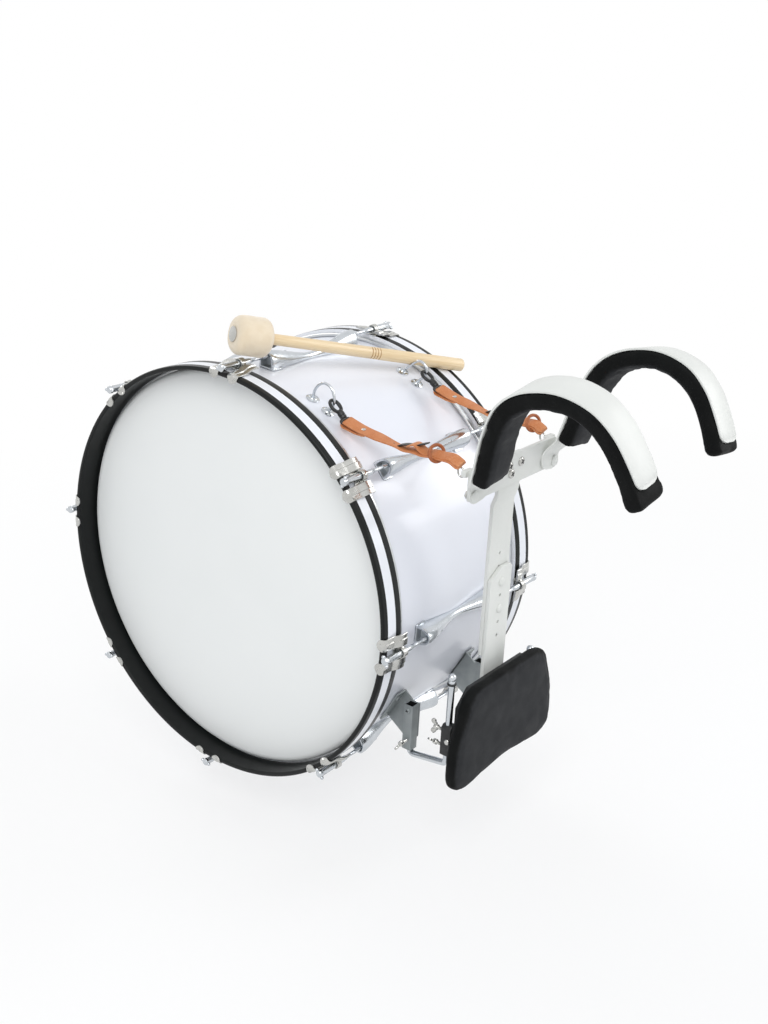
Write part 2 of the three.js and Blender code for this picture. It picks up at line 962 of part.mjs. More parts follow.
// A crowned pad inside the loop, with rounded ends, that runs on past the strip's far end.
function shoulderPad() {
  const path = loopPath();
  const last = path.at(-1);
  const way = last.clone().sub(path.at(-2)).normalize();
  const tail = [1 / 2, 1].map((share) =>
    last.clone().addScaledVector(way, share * shoulder.padPastStrip),
  );
  const frames = pathFrames([...path, ...tail]);
  const gap = shoulder.stripThick + SEAT;
  const half = shoulder.stripWidth / 2 + shoulder.padBulge;
  const round = shoulder.padEndRound;
  const section = ({ p, inner }, size, shift, way) =>
    padSectionShares.map(([across, deep]) => {
      const centred = gap + shoulder.padThick * (1 / 2 + (deep - 1 / 2) * size);
      const q = p.clone().addScaledVector(inner, centred).addScaledVector(way, shift);
      return at(across * half * (1 - (1 - size) / 2), q.y, q.z);
    });
  const first = frames[0];
  const end = frames.at(-1);
  return loft([
    section(first, 0.62, 0, first.way),
    section(first, 0.88, round * 0.28, first.way),
    ...frames.slice(1, -1).map((f) => section(f, 1, 0, f.way)),
    section(end, 1, 0, end.way),
    section(end, 0.88, round * 0.6, end.way),
    section(end, 0.55, round, end.way),
  ]);
}

function makeShoulders() {
  sides.forEach(([name, hand]) => {
    const pivot = new THREE.Matrix4()
      .makeTranslation(hand * boltX, 0, shoulder.boltZ)
      .multiply(new THREE.Matrix4().makeRotationY(hand * shoulder.splay * DEG));
    const frame = carrierFrame.clone().multiply(pivot);
    add("shoulder_strip_" + name, shoulderStrip(hand), materials.carrierPaint, frame);
    add("shoulder_pad_" + name, shoulderPad(), materials.blackCover, frame);
    const footFront = -crossbar.front - SEAT - shoulder.stripThick - SEAT;
    const nutBack = -crossbar.front + carrier.barThick + SEAT;
    const pin = union(
      cylinder(at(0, nutBack + BITE, 0), at(0, footFront - BITE, 0), shoulder.pinRadius, 12),
      cylinder(
        at(0, footFront, 0),
        at(0, footFront - shoulder.pinHeadThick, 0),
        shoulder.pinHead,
        14,
      ),
      cylinder(
        at(0, nutBack + shoulder.pinHeadThick, 0),
        at(0, nutBack, 0),
        shoulder.pinHead - CUT,
        6,
      ),
    );
    add("shoulder_bolt_" + name, pin, materials.nickel, frame);
  });
}

function makeBelly() {
  const front = -lowerBar.front - SEAT;
  const b = bellyBoard;
  const half = [
    [b.halfWidth, b.bottom + b.corner],
    [b.halfWidth, b.top - b.corner],
    [b.halfWidth - b.corner, b.top],
  ];
  const outline = [
    [b.halfWidth - b.corner, b.bottom],
    ...half,
    ...half
      .slice()
      .reverse()
      .map(([x, z]) => [-x, z]),
    [-(b.halfWidth - b.corner), b.bottom],
  ];
  add(
    "belly_board",
    standingPlate(outline, front - b.thick, b.thick),
    materials.blackSteel,
    carrierFrame,
  );

  // The pad: a back narrower than its middle, full sides and a crowned front.
  const right = bellyOutlineShares.map(([x, down]) => [
    x * bellyPad.halfWidth,
    bellyPad.top - down * bellyPad.height,
  ]);
  const left = right
    .slice(1, -1)
    .reverse()
    .map(([x, z]) => [-x, z]);
  const middleZ = bellyPad.top - bellyPad.height / 2;
  const curve = new THREE.CatmullRomCurve3(
    [...right, ...left].map(([x, z]) => at(x, 0, z)),
    true,
    "centripetal",
  );
  const rim = curve.getPoints(38).slice(0, -1);
  const backFace = front - b.thick - SEAT;
  const layer = (inset, deep) =>
    rim.map((p) => {
      const fromMiddle = at(p.x, 0, p.z - middleZ);
      const size = fromMiddle.length();
      fromMiddle.multiplyScalar((size - inset) / size);
      return at(fromMiddle.x, backFace - deep, middleZ + fromMiddle.z);
    });
  const body = bellyPad.thick - b.thick;
  const pad = loft([
    layer(bellyPad.backInset, 0),
    layer(bellyPad.backInset * 0.45, body * 0.1),
    layer(bellyPad.backInset * 0.12, body * 0.35),
    layer(0, body * 0.62),
    layer(bellyPad.backInset * 0.1, body * 0.86),
    layer(bellyPad.backInset * 0.45, body),
    layer(bellyPad.backInset * 1.8, body + bellyPad.crown * 0.7),
    layer(bellyPad.backInset * 3, body + bellyPad.crown),
  ]);
  add("belly_pad", pad, materials.blackCover, carrierFrame);
}

function wingSolid() {
  const root = wing.shaftLength;
  const shaft = cylinder(at(0, 0, 0), at(root + BITE, 0, 0), wing.shaft, 8);
  const hub = cylinder(at(root, 0, 0), at(root + wing.hubLength, 0, 0), wing.hub, 8);
  const half = wing.span / 2;
  const outline = [
    [root + wing.hubLength * 0.15, 0],
    [root + wing.hubLength * 0.5, -half],
    [root + wing.hubLength * 0.5 + wing.height * 0.6, -half],
    [root + wing.hubLength * 0.8, 0],
    [root + wing.hubLength * 0.5 + wing.height * 0.6, half],
    [root + wing.hubLength * 0.5, half],
  ];
  const wings = plate(outline, wing.thick).translate(0, 0, -wing.thick / 2);
  return union(shaft, hub, wings);
}

// A wing screw that points from a place along a way, with its wings turned about that way.
function placeWing(name, from, way, turn) {
  const frame = new THREE.Matrix4()
    .makeTranslation(from.x, from.y, from.z)
    .multiply(
      new THREE.Matrix4().makeRotationFromQuaternion(
        new THREE.Quaternion().setFromUnitVectors(at(1, 0, 0), way),
      ),
    )
    .multiply(new THREE.Matrix4().makeRotationX(turn * DEG));
  add(name, wingSolid(), materials.nickel, carrierFrame.clone().multiply(frame));
}

function makeJRods() {
  sides.forEach(([name, hand]) => {
    const c = clampBlock;
    const block = box(
      hand > 0 ? c.inner : -c.outer,
      hand > 0 ? c.outer : -c.inner,
      -c.front,
      c.back,
      c.bottom,
      c.top,
    );
    const boltFace = hand * c.outer;
    const bolt = cylinder(
      at(boltFace - hand * BITE, c.boltY, c.boltZ),
      at(boltFace + hand * c.boltHead, c.boltY, c.boltZ),
      c.boltRadius,
      10,
    );
    const bore = cylinder(
      at(hand * jRod.x, jRod.y, c.top + CUT),
      at(hand * jRod.x, jRod.y, c.bottom - CUT),
      jRod.radius + RUN,
      12,
    );
    const taps = [c.wingTop, c.wingBottom].map((z) =>
      cylinder(
        at(hand * jRod.x, c.back + CUT, z),
        at(hand * jRod.x, jRod.y, z),
        wing.shaft + RUN,
        8,
      ),
    );
    add(
      "clamp_block_" + name,
      subtract(union(block, bolt), bore, ...taps),
      materials.blackSteel,
      carrierFrame,
    );
    [
      ["upper", c.wingTop, wing.turns.upper],
      ["lower", c.wingBottom, wing.turns.lower],
    ].forEach(([where, z, turn]) => {
      const touch = at(hand * jRod.x, jRod.y + jRod.radius + SEAT, z);
      placeWing("wing_" + where + "_" + name, touch, at(0, 1, 0), turn);
    });
    const cap = hand > 0 ? jRod.capRight : jRod.capLeft;
    const low = bracket.tubeBottom - bracket.runDrop;
    const corners = [
      at(hand * jRod.x, jRod.y, cap - jRod.capRadius),
      at(hand * jRod.x, jRod.y, jRod.bottom),
      at(hand * bracket.tubeX, bracket.tubeY, low),
      at(hand * bracket.tubeX, bracket.tubeY, low + jRod.insertion + jRod.capRadius),
    ];
    const ball = [
      [1.7 * jRod.capRadius, jRod.capRadius * 0.45],
      [1.35 * jRod.capRadius, jRod.capRadius * 0.85],
      [0.7 * jRod.capRadius, jRod.capRadius],
      [0.2 * jRod.capRadius, jRod.capRadius * 0.9],
      [0, jRod.radius],
    ];
    add(
      "j_rod_" + name,
      rod(corners, jRod.radius, jRod.bend, 8, 4, ball),
      materials.chrome,
      carrierFrame,
    );
  });
}

// The bracket's tube is cut in the carrier's frame and its plates follow the drum's shell.
function makeBrackets() {
  const b = bracket;
  sides.forEach(([name, hand]) => {
    const half = b.tube / 2;
    const x = hand * b.tubeX;
    const tubeSolid = box(x - half, x + half, b.tubeY - half, b.tubeY + half, b.tubeBottom, b.tubeTop);
    const innerHalf = half - b.tubeWall;
    const hollow = box(
      x - innerHalf,
      x + innerHalf,
      b.tubeY - innerHalf,
      b.tubeY + innerHalf,
      b.tubeBottom - CUT,
      b.tubeTop + CUT,
    );
    const wingZ = b.tubeBottom + b.wingAbove;
    const tap = cylinder(
      at(x, b.tubeY, wingZ),
      at(x + hand * (half + CUT), b.tubeY, wingZ),
      wing.shaft + RUN,
      8,
    );
    const radial = at(0, Math.cos(b.flangeAngle * DEG), Math.sin(b.flangeAngle * DEG));
    const down = at(0, Math.sin(b.flangeAngle * DEG), -Math.cos(b.flangeAngle * DEG)).negate();
    const across = at(1, 0, 0);
    const onShell = new THREE.Matrix4().makeBasis(across, down.clone(), across.clone().cross(down));
    const outwards = across.clone().cross(down).dot(radial);
    const base = shellRadius + SEAT;
    const plateX = hand * b.plateX;
    const inside = hand * (b.plateX - b.plateThick);
    const outside = hand * (b.plateX + b.flangeReach);
    const flange = box(
      Math.min(inside, outside),
      Math.max(inside, outside),
      -b.flangeHalf,
      b.flangeHalf,
      outwards > 0 ? base : -base - b.plateThick,
      outwards > 0 ? base + b.plateThick : -base,
    );
    const cheekOutline = bracketPlateShares.map(([out, along]) => [
      outwards * (base + out * (b.plateReach + b.plateThick)),
      (along * 2 - 1) * b.flangeHalf,
    ]);
    const cheek = plate(cheekOutline, b.plateThick)
      .applyMatrix4(new THREE.Matrix4().makeBasis(at(0, 0, 1), at(0, 1, 0), at(-1, 0, 0)))
      .translate(Math.max(plateX, inside), 0, 0);
    const heads = [-1, 1].map((end) =>
      cylinder(
        at(hand * (b.plateX + b.flangeReach * 0.62), end * b.flangeHalf * 0.62, outwards * base),
        at(
          hand * (b.plateX + b.flangeReach * 0.62),
          end * b.flangeHalf * 0.62,
          outwards * (base + b.plateThick + b.boltHead),
        ),
        b.boltRadius,
        8,
      ),
    );
    const shellSide = [flange, cheek, ...heads].map((g) => g.applyMatrix4(onShell));
    const tubeHead = cylinder(
      at(x + hand * (half - BITE), b.tubeY, b.tubeTop - b.tube / 2),
      at(x + hand * (half + b.boltHead), b.tubeY, b.tubeTop - b.tube / 2),
      b.boltRadius,
      8,
    );
    const join = box(
      Math.min(hand * (b.tubeX - half - b.plateThick), x),
      Math.max(hand * (b.tubeX - half - b.plateThick), x),
      b.tubeY - half,
      b.tubeY + half,
      b.tubeBottom + b.tube,
      b.tubeTop,
    );
    const onLean = [tubeSolid, tubeHead, join].map((g) => g.applyMatrix4(carrierFrame));
    const tools = [hollow, tap].map((g) => g.applyMatrix4(carrierFrame));
    add("bracket_" + name, subtract(union(...onLean, ...shellSide), ...tools), materials.greySteel);
    const start = at(hand * (b.tubeX + jRod.radius + SEAT), b.tubeY, wingZ);
    placeWing("wing_tube_" + name, start, at(hand, 0, 0), wing.turns.tube);
  });
}

// Polar place on the drum: angle from +Y towards +Z.
function polar(x, radius, angle) {
  return at(x, radius * Math.cos(angle * DEG), radius * Math.sin(angle * DEG));
}

function makeStraps() {
  const a = anchor;
  const base = shellRadius + SEAT;
  sides.forEach(([name, hand]) => {
    const x = hand * a.x;
    const angles = [a.firstAngle, a.lastAngle];
    const washers = angles.flatMap((angle) => [
      cylinder(polar(x, base, angle), polar(x, base + a.washerThick, angle), a.washer, 10),
      cylinder(polar(x, base, angle), polar(x, base + a.postHeight, angle), a.post, 6),
    ]);
    const middle = (a.firstAngle + a.lastAngle) / 2;
    const span = ((a.lastAngle - a.firstAngle) / 2) * DEG * base;
    const wirePath = bailShares.map(([across, up]) =>
      polar(x, base + up * a.rise, middle).add(
        polar(0, across * span, middle + RIGHT_ANGLE),
      ),
    );
    const bail = tube(wirePath, a.wire, 6);
    add("anchor_" + name, union(...washers, bail), materials.chrome);

    // The snap hook hangs on the bail's lower leg and points along the strap.
    const place = hand > 0 ? strap.startRight : strap.startLeft;
    const start = polar(hand * a.x, drum.hoopRadius + place.beyondHoop, place.angle);
    const [upper, lower] = wirePath.slice(-4, -2);
    const leg = upper.clone().lerp(lower, 1 / 2);
    const way = start.clone().sub(leg).normalize();
    const wide = at(1, 0, 0).addScaledVector(way, -way.x).normalize();
    const legWay = lower.clone().sub(upper).normalize();
    const hold = (a.wire + RUN) / way.clone().cross(legWay).length();
    const ringCentre = leg.clone().addScaledVector(way, hook.ringLong / 2 - 2 * hook.wire - hold);
    const ringEnd = ringCentre.clone().addScaledVector(way, hook.ringLong / 2);
    const barrelEnd = ringEnd.clone().addScaledVector(way, hook.barrelLength);
    const eyeCentre = barrelEnd.clone().addScaledVector(way, hook.eyeLong / 2 - hook.wire / 2);
    const snap = union(
      wireRing(ringCentre, way, wide, hook.ringLong / 2 - hook.wire, hook.ringWide / 2, hook.wire),
      cylinder(ringEnd.clone().addScaledVector(way, -2 * hook.wire), barrelEnd, hook.barrel, 6),
      wireRing(eyeCentre, way, wide, hook.eyeLong / 2 - hook.wire, hook.ringWide / 2, hook.wire, 8),
    );
    add("snap_hook_" + name, snap, materials.blackSteel);

    // The strap lies on edge from the hook's eye to the eye on the crossbar.
    const from = eyeCentre.clone().addScaledVector(way, hook.eyeLong / 2 + SEAT);
    const eyeBack = -crossbar.front + carrier.barThick + crossbar.eyeReach;
    const endGap = SEAT + strap.width / 4;
    const to = onCarrier(at(hand * strapEndX, eyeBack + endGap, strap.endZ));
    const steps = 8;
    const path = Array.from({ length: steps + 1 }, (_, k) => {
      const share = k / steps;
      const p = from.clone().lerp(to, share);
      p.z -= 4 * strap.sag * share * (1 - share);
      return p;
    });
    const rings = pathWays(path).map(({ p, way: w }) => {
      const up = at(0, 0, 1).addScaledVector(w, -w.z).normalize();
      const flat = up.clone().cross(w).normalize();
      return [
        [-1, -1],
        [1, -1],
        [1, 1],
        [-1, 1],
      ].map(([h, v]) =>
        p
          .clone()
          .addScaledVector(flat, (h * strap.thick) / 2)
          .addScaledVector(up, (v * strap.width) / 2),
      );
    });
    add("strap_" + name, loft(rings), materials.leather);
  });
}

function pathWays(path) {
  return path.map((p, i) => {
    const back = path[Math.max(i - 1, 0)];
    const on = path[Math.min(i + 1, path.length - 1)];
    return { p, way: on.clone().sub(back).normalize() };
  });
}

// The mallet lies across the top: its felt head on a left claw, its handle on the right hoop.
function makeMallet() {
  const m = mallet;
  const webTop = rodAxis + tRod.rear + RUN + claw.webCover;
  const headX = -(lug.halfLength + m.headPastLug);
  const headAt = polar(headX, webTop + m.headRadius + SEAT - m.settle, m.headAngle);
  const endAt = polar(m.endX, drum.hoopRadius + m.endRadius + SEAT, m.endAngle);
  const way = endAt.clone().sub(headAt);
  const length = way.length();
  const frame = new THREE.Matrix4()
    .makeTranslation(headAt.x, headAt.y, headAt.z)
    .multiply(
      new THREE.Matrix4().makeRotationFromQuaternion(
        new THREE.Quaternion().setFromUnitVectors(at(1, 0, 0), way.normalize()),
      ),
    );
  const h = m.headLength / 2;
  const round = quarterShares.map((share) => [
    m.headRound * Math.sin(share * RIGHT_ANGLE * DEG),
    m.headRound * Math.cos(share * RIGHT_ANGLE * DEG),
  ]);
  const bore = m.neckRadius + SEAT;
  const barrel = [
    [-h, bore],
    ...round.map(([s, c]) => [-h + m.headRound - c, m.headRadius - m.headRound + s]),
    ...round
      .slice()
      .reverse()
      .map(([s, c]) => [h - m.headRound + c, m.headRadius - m.headRound + s]),
    [h, bore],
    [-h, bore],
  ];
  add("mallet_head", turned(barrel, 20), materials.felt, frame);

  const front = -h - SEAT;
  const grooveStart = (length + h) / 2;
  const widthAt = (x) => m.neckRadius + ((m.endRadius - m.neckRadius) * Math.max(0, x - h)) / (length - h);
  const profile = [
    [front - m.washerThick, 0],
    [front - m.washerThick, m.washer],
    [front, m.washer],
    [front, m.neckRadius],
    [h + m.headRound, m.neckRadius],
  ];
  for (let k = 0; k < m.grooves; k++) {
    const x = grooveStart + k * m.grooveSpacing;
    profile.push([x, widthAt(x)]);
    profile.push([x + m.grooveWidth / 2, widthAt(x) - m.groove]);
    profile.push([x + m.grooveWidth, widthAt(x + m.grooveWidth)]);
  }
  profile.push([length - m.endRound, m.endRadius]);
  profile.push([length, m.endRadius - m.endRound]);
  profile.push([length, 0]);
  add("mallet_handle", turned(profile, 10), materials.wood, frame);
}

makeDrum();
makeTension();
makeCarrierBars();
makeShoulders();
makeBelly();
makeJRods();
makeBrackets();
makeStraps();
makeMallet();

// The origin goes to the underside of the pads' crown, midway between the shoulders.
const crownBack = crossbar.front + SEAT + shoulder.loopStartBack + shoulder.reach / 2;
const crownUp = shoulder.loopStartUp + shoulder.rise - shoulder.stripThick - SEAT - shoulder.padThick;
const held = onCarrier(
  at(0, -crownBack, shoulder.boltZ + crownUp * Math.cos(shoulder.splay * DEG)),
);
set.position.copy(held).negate();

const object = new THREE.Group();
object.add(set);
export default object;
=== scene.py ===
import json
import math

import bmesh
import bpy
from mathutils import Matrix, Vector, kdtree, noise


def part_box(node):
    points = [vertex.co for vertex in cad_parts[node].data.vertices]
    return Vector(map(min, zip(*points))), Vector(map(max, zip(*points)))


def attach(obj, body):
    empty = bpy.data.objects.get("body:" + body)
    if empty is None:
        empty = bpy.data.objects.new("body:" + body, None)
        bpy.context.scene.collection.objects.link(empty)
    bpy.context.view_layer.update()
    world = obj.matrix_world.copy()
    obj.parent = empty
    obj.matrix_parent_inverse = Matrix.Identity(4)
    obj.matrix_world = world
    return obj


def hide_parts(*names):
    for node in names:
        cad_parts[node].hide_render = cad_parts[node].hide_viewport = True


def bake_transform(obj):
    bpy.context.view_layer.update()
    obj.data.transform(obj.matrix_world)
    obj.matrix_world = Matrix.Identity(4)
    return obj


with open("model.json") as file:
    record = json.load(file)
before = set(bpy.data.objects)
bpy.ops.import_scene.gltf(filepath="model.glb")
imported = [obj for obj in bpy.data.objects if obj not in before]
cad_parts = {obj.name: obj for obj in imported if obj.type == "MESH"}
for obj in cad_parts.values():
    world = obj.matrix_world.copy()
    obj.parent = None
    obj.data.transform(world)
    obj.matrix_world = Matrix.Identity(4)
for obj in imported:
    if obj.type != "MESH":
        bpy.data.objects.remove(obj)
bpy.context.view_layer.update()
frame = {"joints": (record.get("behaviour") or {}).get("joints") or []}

# Shapes are written in millimetres in a frame of their own, and a matrix places them.
MM = 0.001
TOUCHING = 0.001
SHARP_ANGLE = 38
SIDES = (("left", -1), ("right", 1))

# The drum, from its middle: X along its axis.
LUGS = 8
FIRST_LUG_ANGLE = 6.5
LUG_STEP = 360 / LUGS
SHELL_RADIUS = 303.9
SHELL_WALL = 7.0
SHELL_HALF = 148.8
HEAD_PLANE = 149.8
HOOP_RADIUS = 315.0
HOOP_WALL = 7.0
HOOP_REAR = 142.0
HOOP_RIM = 180.0
ROD_AXIS = 323.0

# The carrier, from its datum behind the crossbar.
CARRIER_BEHIND = 374.0
BAR_THICK = 6.0
BAR_HALF = 26.0
CROSSBAR_FRONT = 10.7
BOLT_X = 98.7
BOLT_Z = 190.0
SPLAY = 8.0
STRAP_END_X = 100.0
CROSSBAR_TOP = 224.5
LOWER_FRONT = 5.1
SEAT = 0.3

FULL_TURN = 2 * math.pi
AXIS_X = Vector((1, 0, 0))
AXIS_Y = Vector((0, 1, 0))
AXIS_Z = Vector((0, 0, 1))


def box_middle(node):
    low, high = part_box(node)
    return (Vector(low) + Vector(high)) / 2


def leaning_angle():
    height = next(j for j in frame["joints"] if j["name"] == "drum_height")
    return math.atan2(-height["axis"][1], height["axis"][2])


MIDDLE = box_middle("shell")
DRUM = Matrix.Translation(MIDDLE) @ Matrix.Scale(MM, 4)
CARRIER = (
    DRUM @ Matrix.Translation((0, -CARRIER_BEHIND, 0)) @ Matrix.Rotation(leaning_angle(), 4, "X")
)


def basis(across, up, along, origin=(0, 0, 0)):
    placed = Matrix((across, up, along)).transposed().to_4x4()
    placed.translation = Vector(origin)
    return placed


def lug_frame(k, side):
    """X runs out along the drum's axis on the given side, Z out along the radius."""
    turn = math.radians(FIRST_LUG_ANGLE + k * LUG_STEP)
    radial = Vector((0, math.cos(turn), math.sin(turn)))
    along = AXIS_X * side
    return DRUM @ basis(along, radial.cross(along), radial)


def polar(x, radius, angle):
    turn = math.radians(angle)
    return Vector((x, radius * math.cos(turn), radius * math.sin(turn)))


def radial_frame(x, radius, angle):
    """X runs out along the drum's radius from a place on it."""
    out = polar(0, 1, angle)
    return basis(out, AXIS_X, out.cross(AXIS_X), polar(x, radius, angle))


def pointing(origin, way, side):
    """X runs along a way, and Y keeps to the given side."""
    out = Vector(way).normalized()
    across = (side - out * side.dot(out)).normalized()
    return basis(out, across, out.cross(across), origin)


# Mesh tools.
def faced(bm):
    """Turns every face of a body outwards."""
    bmesh.ops.recalc_face_normals(bm, faces=bm.faces)
    return bm


def spun(profile, steps=48, closed=False):
    """A body turned about X from points of (x, radius)."""
    bm = bmesh.new()
    verts = [bm.verts.new((x, 0, r)) for x, r in profile]
    pairs = list(zip(verts, verts[1:]))
    if closed:
        pairs.append((verts[-1], verts[0]))
    edges = [bm.edges.new(pair) for pair in pairs]
    bmesh.ops.spin(
        bm, geom=verts + edges, cent=(0, 0, 0), axis=AXIS_X, angle=FULL_TURN, steps=steps,
        use_merge=True,
    )
    bmesh.ops.remove_doubles(bm, verts=bm.verts, dist=TOUCHING)
    return faced(bm)


def new_verts(made):
    return [v for v in made["geom"] if isinstance(v, bmesh.types.BMVert)]


def sunk(bm, face, way):
    """Sinks a face into its body as an open hollow, whose inner faces get the second finish."""
    floor = new_verts(bmesh.ops.extrude_face_region(bm, geom=[face]))
    bmesh.ops.translate(bm, verts=floor, vec=way)
    bmesh.ops.delete(bm, geom=[face], context="FACES_ONLY")
    for inner in {f for v in floor for f in v.link_faces}:
        inner.material_index = 1


def slab(outline, depth):
    """An outline in X and Y, drawn out along Z."""
    bm = bmesh.new()
    face = bm.faces.new([bm.verts.new((x, y, 0)) for x, y in outline])
    lifted = new_verts(bmesh.ops.extrude_face_region(bm, geom=[face]))
    bmesh.ops.translate(bm, verts=lifted, vec=(0, 0, depth))
    return faced(bm)


def standing(back):
    """Turns a slab drawn in X and Z so that it reaches from back towards the wearer."""
    return basis(AXIS_X, AXIS_Z, -AXIS_Y, (0, back, 0))


def eased(bm, width, segments=2, angle=32):
    """Rounds the edges that turn by more than an angle."""
    least = math.radians(angle)
    edges = [e for e in bm.edges if e.is_manifold and e.calc_face_angle(0) > least]
    bmesh.ops.bevel(
        bm, geom=edges, offset=width, affect="EDGES", segments=segments, profile=0.5, material=-1,
        clamp_overlap=True,
    )
    return bm


def ring_edges(verts):
    kept = set(verts)
    return list({e for v in verts for e in v.link_edges if e.other_vert(v) in kept})


def swept(section, places, closed=False):
    """A closed section carried through a row of placing matrices."""
    bm = bmesh.new()
    ring = [bm.verts.new((x, y, 0)) for x, y in section]
    edges = [bm.edges.new(pair) for pair in zip(ring, ring[1:] + ring[:1])]
    bmesh.ops.transform(bm, matrix=places[0], verts=ring)
    first_edges = edges
    for before, now in zip(places, places[1:]):
        ring = new_verts(bmesh.ops.extrude_edge_only(bm, edges=edges))
        edges = ring_edges(ring)
        bmesh.ops.transform(bm, matrix=now @ before.inverted(), verts=ring)
    if closed:
        bmesh.ops.bridge_loops(bm, edges=first_edges + edges)
    else:
        bmesh.ops.holes_fill(bm, edges=first_edges, sides=0)
        bmesh.ops.holes_fill(bm, edges=edges, sides=0)
    return faced(bm)


def joined(*parts):
    whole = bmesh.new()
    for part in parts:
        carried = bpy.data.meshes.new("carried")
        part.to_mesh(carried)
        part.free()
        whole.from_mesh(carried)
        bpy.data.meshes.remove(carried)
    return whole


def placed(bm, matrix):
    bm.transform(matrix)
    return bm


def moved(bm, x=0, y=0, z=0):
    return placed(bm, Matrix.Translation((x, y, z)))


def painted(bm, index):
    for face in bm.faces:
        face.material_index = index
    return bm


def piece(name, bm, place, body, finishes, stands_for=(), sharp=SHARP_ANGLE):
    """A finished piece: put in its place, shaded smooth up to an angle, riding on its body."""
    bm.transform(place)
    mesh = bpy.data.meshes.new(name)
    bm.to_mesh(mesh)
    bm.free()
    for finish in finishes:
        mesh.materials.append(finish)
    mesh.polygons.foreach_set("use_smooth", [True] * len(mesh.polygons))
    mesh.set_sharp_from_angle(angle=math.radians(sharp))
    made = bpy.data.objects.new(name, mesh)
    bpy.context.scene.collection.objects.link(made)
    if body:
        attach(made, body)
    if stands_for:
        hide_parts(*stands_for)
    return made


# Lines and sections.
LINE_STEPS = 16


def smooth_line(points, count):
    """Evenly spaced points along a smooth line through the given ones."""
    row = [2 * points[0] - points[1], *points, 2 * points[-1] - points[-2]]
    fine = []
    for a, b, c, d in zip(row, row[1:], row[2:], row[3:]):
        for step in range(LINE_STEPS):
            t = step / LINE_STEPS
            bend = (2 * a - 5 * b + 4 * c - d) * t * t + (3 * b - a - 3 * c + d) * t**3
            fine.append((2 * b + (c - a) * t + bend) / 2)
    fine.append(points[-1].copy())
    return even_line(fine, count)


def even_line(fine, count):
    lengths = [0]
    for a, b in zip(fine, fine[1:]):
        lengths.append(lengths[-1] + (b - a).length)
    made = []
    k = 0
    for i in range(count):
        want = lengths[-1] * i / (count - 1)
        while k < len(fine) - 2 and lengths[k + 1] < want:
            k += 1
        share = (want - lengths[k]) / max(lengths[k + 1] - lengths[k], TOUCHING)
        made.append(fine[k].lerp(fine[k + 1], min(share, 1)))
    return made


def bent_line(corners, radius, steps=8):
    """A line through corners, each rounded with an arc."""
    made = [corners[0]]
    for before, corner, after in zip(corners, corners[1:], corners[2:]):
        to_before = (before - corner).normalized()
        to_after = (after - corner).normalized()
        half = to_before.angle(to_after) / 2
        reach = radius / math.tan(half)
        middle = corner + (to_before + to_after).normalized() * (radius / math.sin(half))
        start = corner + to_before * reach - middle
        end = corner + to_after * reach - middle
        for k in range(steps + 1):
            made.append(middle + start.slerp(end, k / steps).normalized() * start.length)
    made.append(corners[-1])
    return made


def along(line, side, closed=False):
    """Placing matrices on a line: Z runs on along it, and X keeps to the given side."""
    places = []
    last = len(line) - 1
    for i, point in enumerate(line):
        back = line[i - 1] if closed or i else line[0]
        on = line[(i + 1) % len(line)] if closed else line[min(i + 1, last)]
        way = (on - back).normalized()
        across = (side - way * side.dot(way)).normalized()
        places.append(basis(across, way.cross(across), way, point))
    return places


def circle(radius, sides):
    return [
        (radius * math.cos(FULL_TURN * k / sides), radius * math.sin(FULL_TURN * k / sides))
        for k in range(sides)
    ]


def arc(centre, radius, start, end, steps):
    """Points of an arc, with its angles in degrees."""
    made = []
    for k in range(steps + 1):
        turn = math.radians(start + (end - start) * k / steps)
        made.append((centre[0] + radius * math.cos(turn), centre[1] + radius * math.sin(turn)))
    return made


def rounded_box(left, bottom, right, top, radius, steps=3):
    corners = [
        (right - radius, top - radius, 0), (left + radius, top - radius, 90),
        (left + radius, bottom + radius, 180), (right - radius, bottom + radius, 270),
    ]
    return [p for x, y, turn in corners for p in arc((x, y), radius, turn, turn + 90, steps)]


def ease(share):
    return share * share * (3 - 2 * share)


def eased_share(value, low, high):
    return ease(min(1, max(0, (value - low) / (high - low))))


# Colours and node groups.
def colour(code):
    """A display colour in linear light."""
    parts = [int(code[i : i + 2], 16) / 255 for i in (0, 2, 4)]
    return (*[c / 12.92 if c <= 0.04045 else ((c + 0.055) / 1.055) ** 2.4 for c in parts], 1)


def feed(tree, socket, value):
    """Links a node's output to a socket, or sets the socket's own value."""
    if isinstance(value, bpy.types.NodeSocket):
        tree.links.new(value, socket)
    else:
        socket.default_value = value


def add_node(tree, kind, inputs=None, **settings):
    made = tree.nodes.new(kind)
    for key, value in settings.items():
        setattr(made, key, value)
    for key, value in (inputs or {}).items():
        feed(tree, made.inputs[key], value)
    return made


def noise_node(tree, given, detail):
    inputs = {"Vector": given["Vector"], "Scale": given["Scale"], "Detail": detail}
    return add_node(tree, "ShaderNodeTexNoise", inputs).outputs["Fac"]


def bump_node(tree, height, distance):
    inputs = {"Height": height, "Distance": distance, "Strength": 1.0}
    return add_node(tree, "ShaderNodeBump", inputs).outputs["Normal"]


def range_node(tree, value, low, high, ends=None, **settings):
    """Stretches the values from low to high over 0 to 1, or over the given ends."""
    inputs = {"Value": value, "From Min": low, "From Max": high, **(ends or {})}
    return add_node(tree, "ShaderNodeMapRange", inputs, **settings).outputs["Result"]


def math_node(tree, operation, first, second):
    made = add_node(tree, "ShaderNodeMath", {0: first, 1: second}, operation=operation)
    return made.outputs["Value"]


def mix_shaders(tree, share, first, second, surface):
    mix = add_node(tree, "ShaderNodeMixShader", {0: share, 1: first, 2: second})
    tree.links.new(mix.outputs["Shader"], surface)


VECTOR = "NodeSocketVector"
FLOAT = "NodeSocketFloat"
COLOUR = "NodeSocketColor"
WHITE = (1, 1, 1, 1)
CLOUD_DETAIL = 2.5


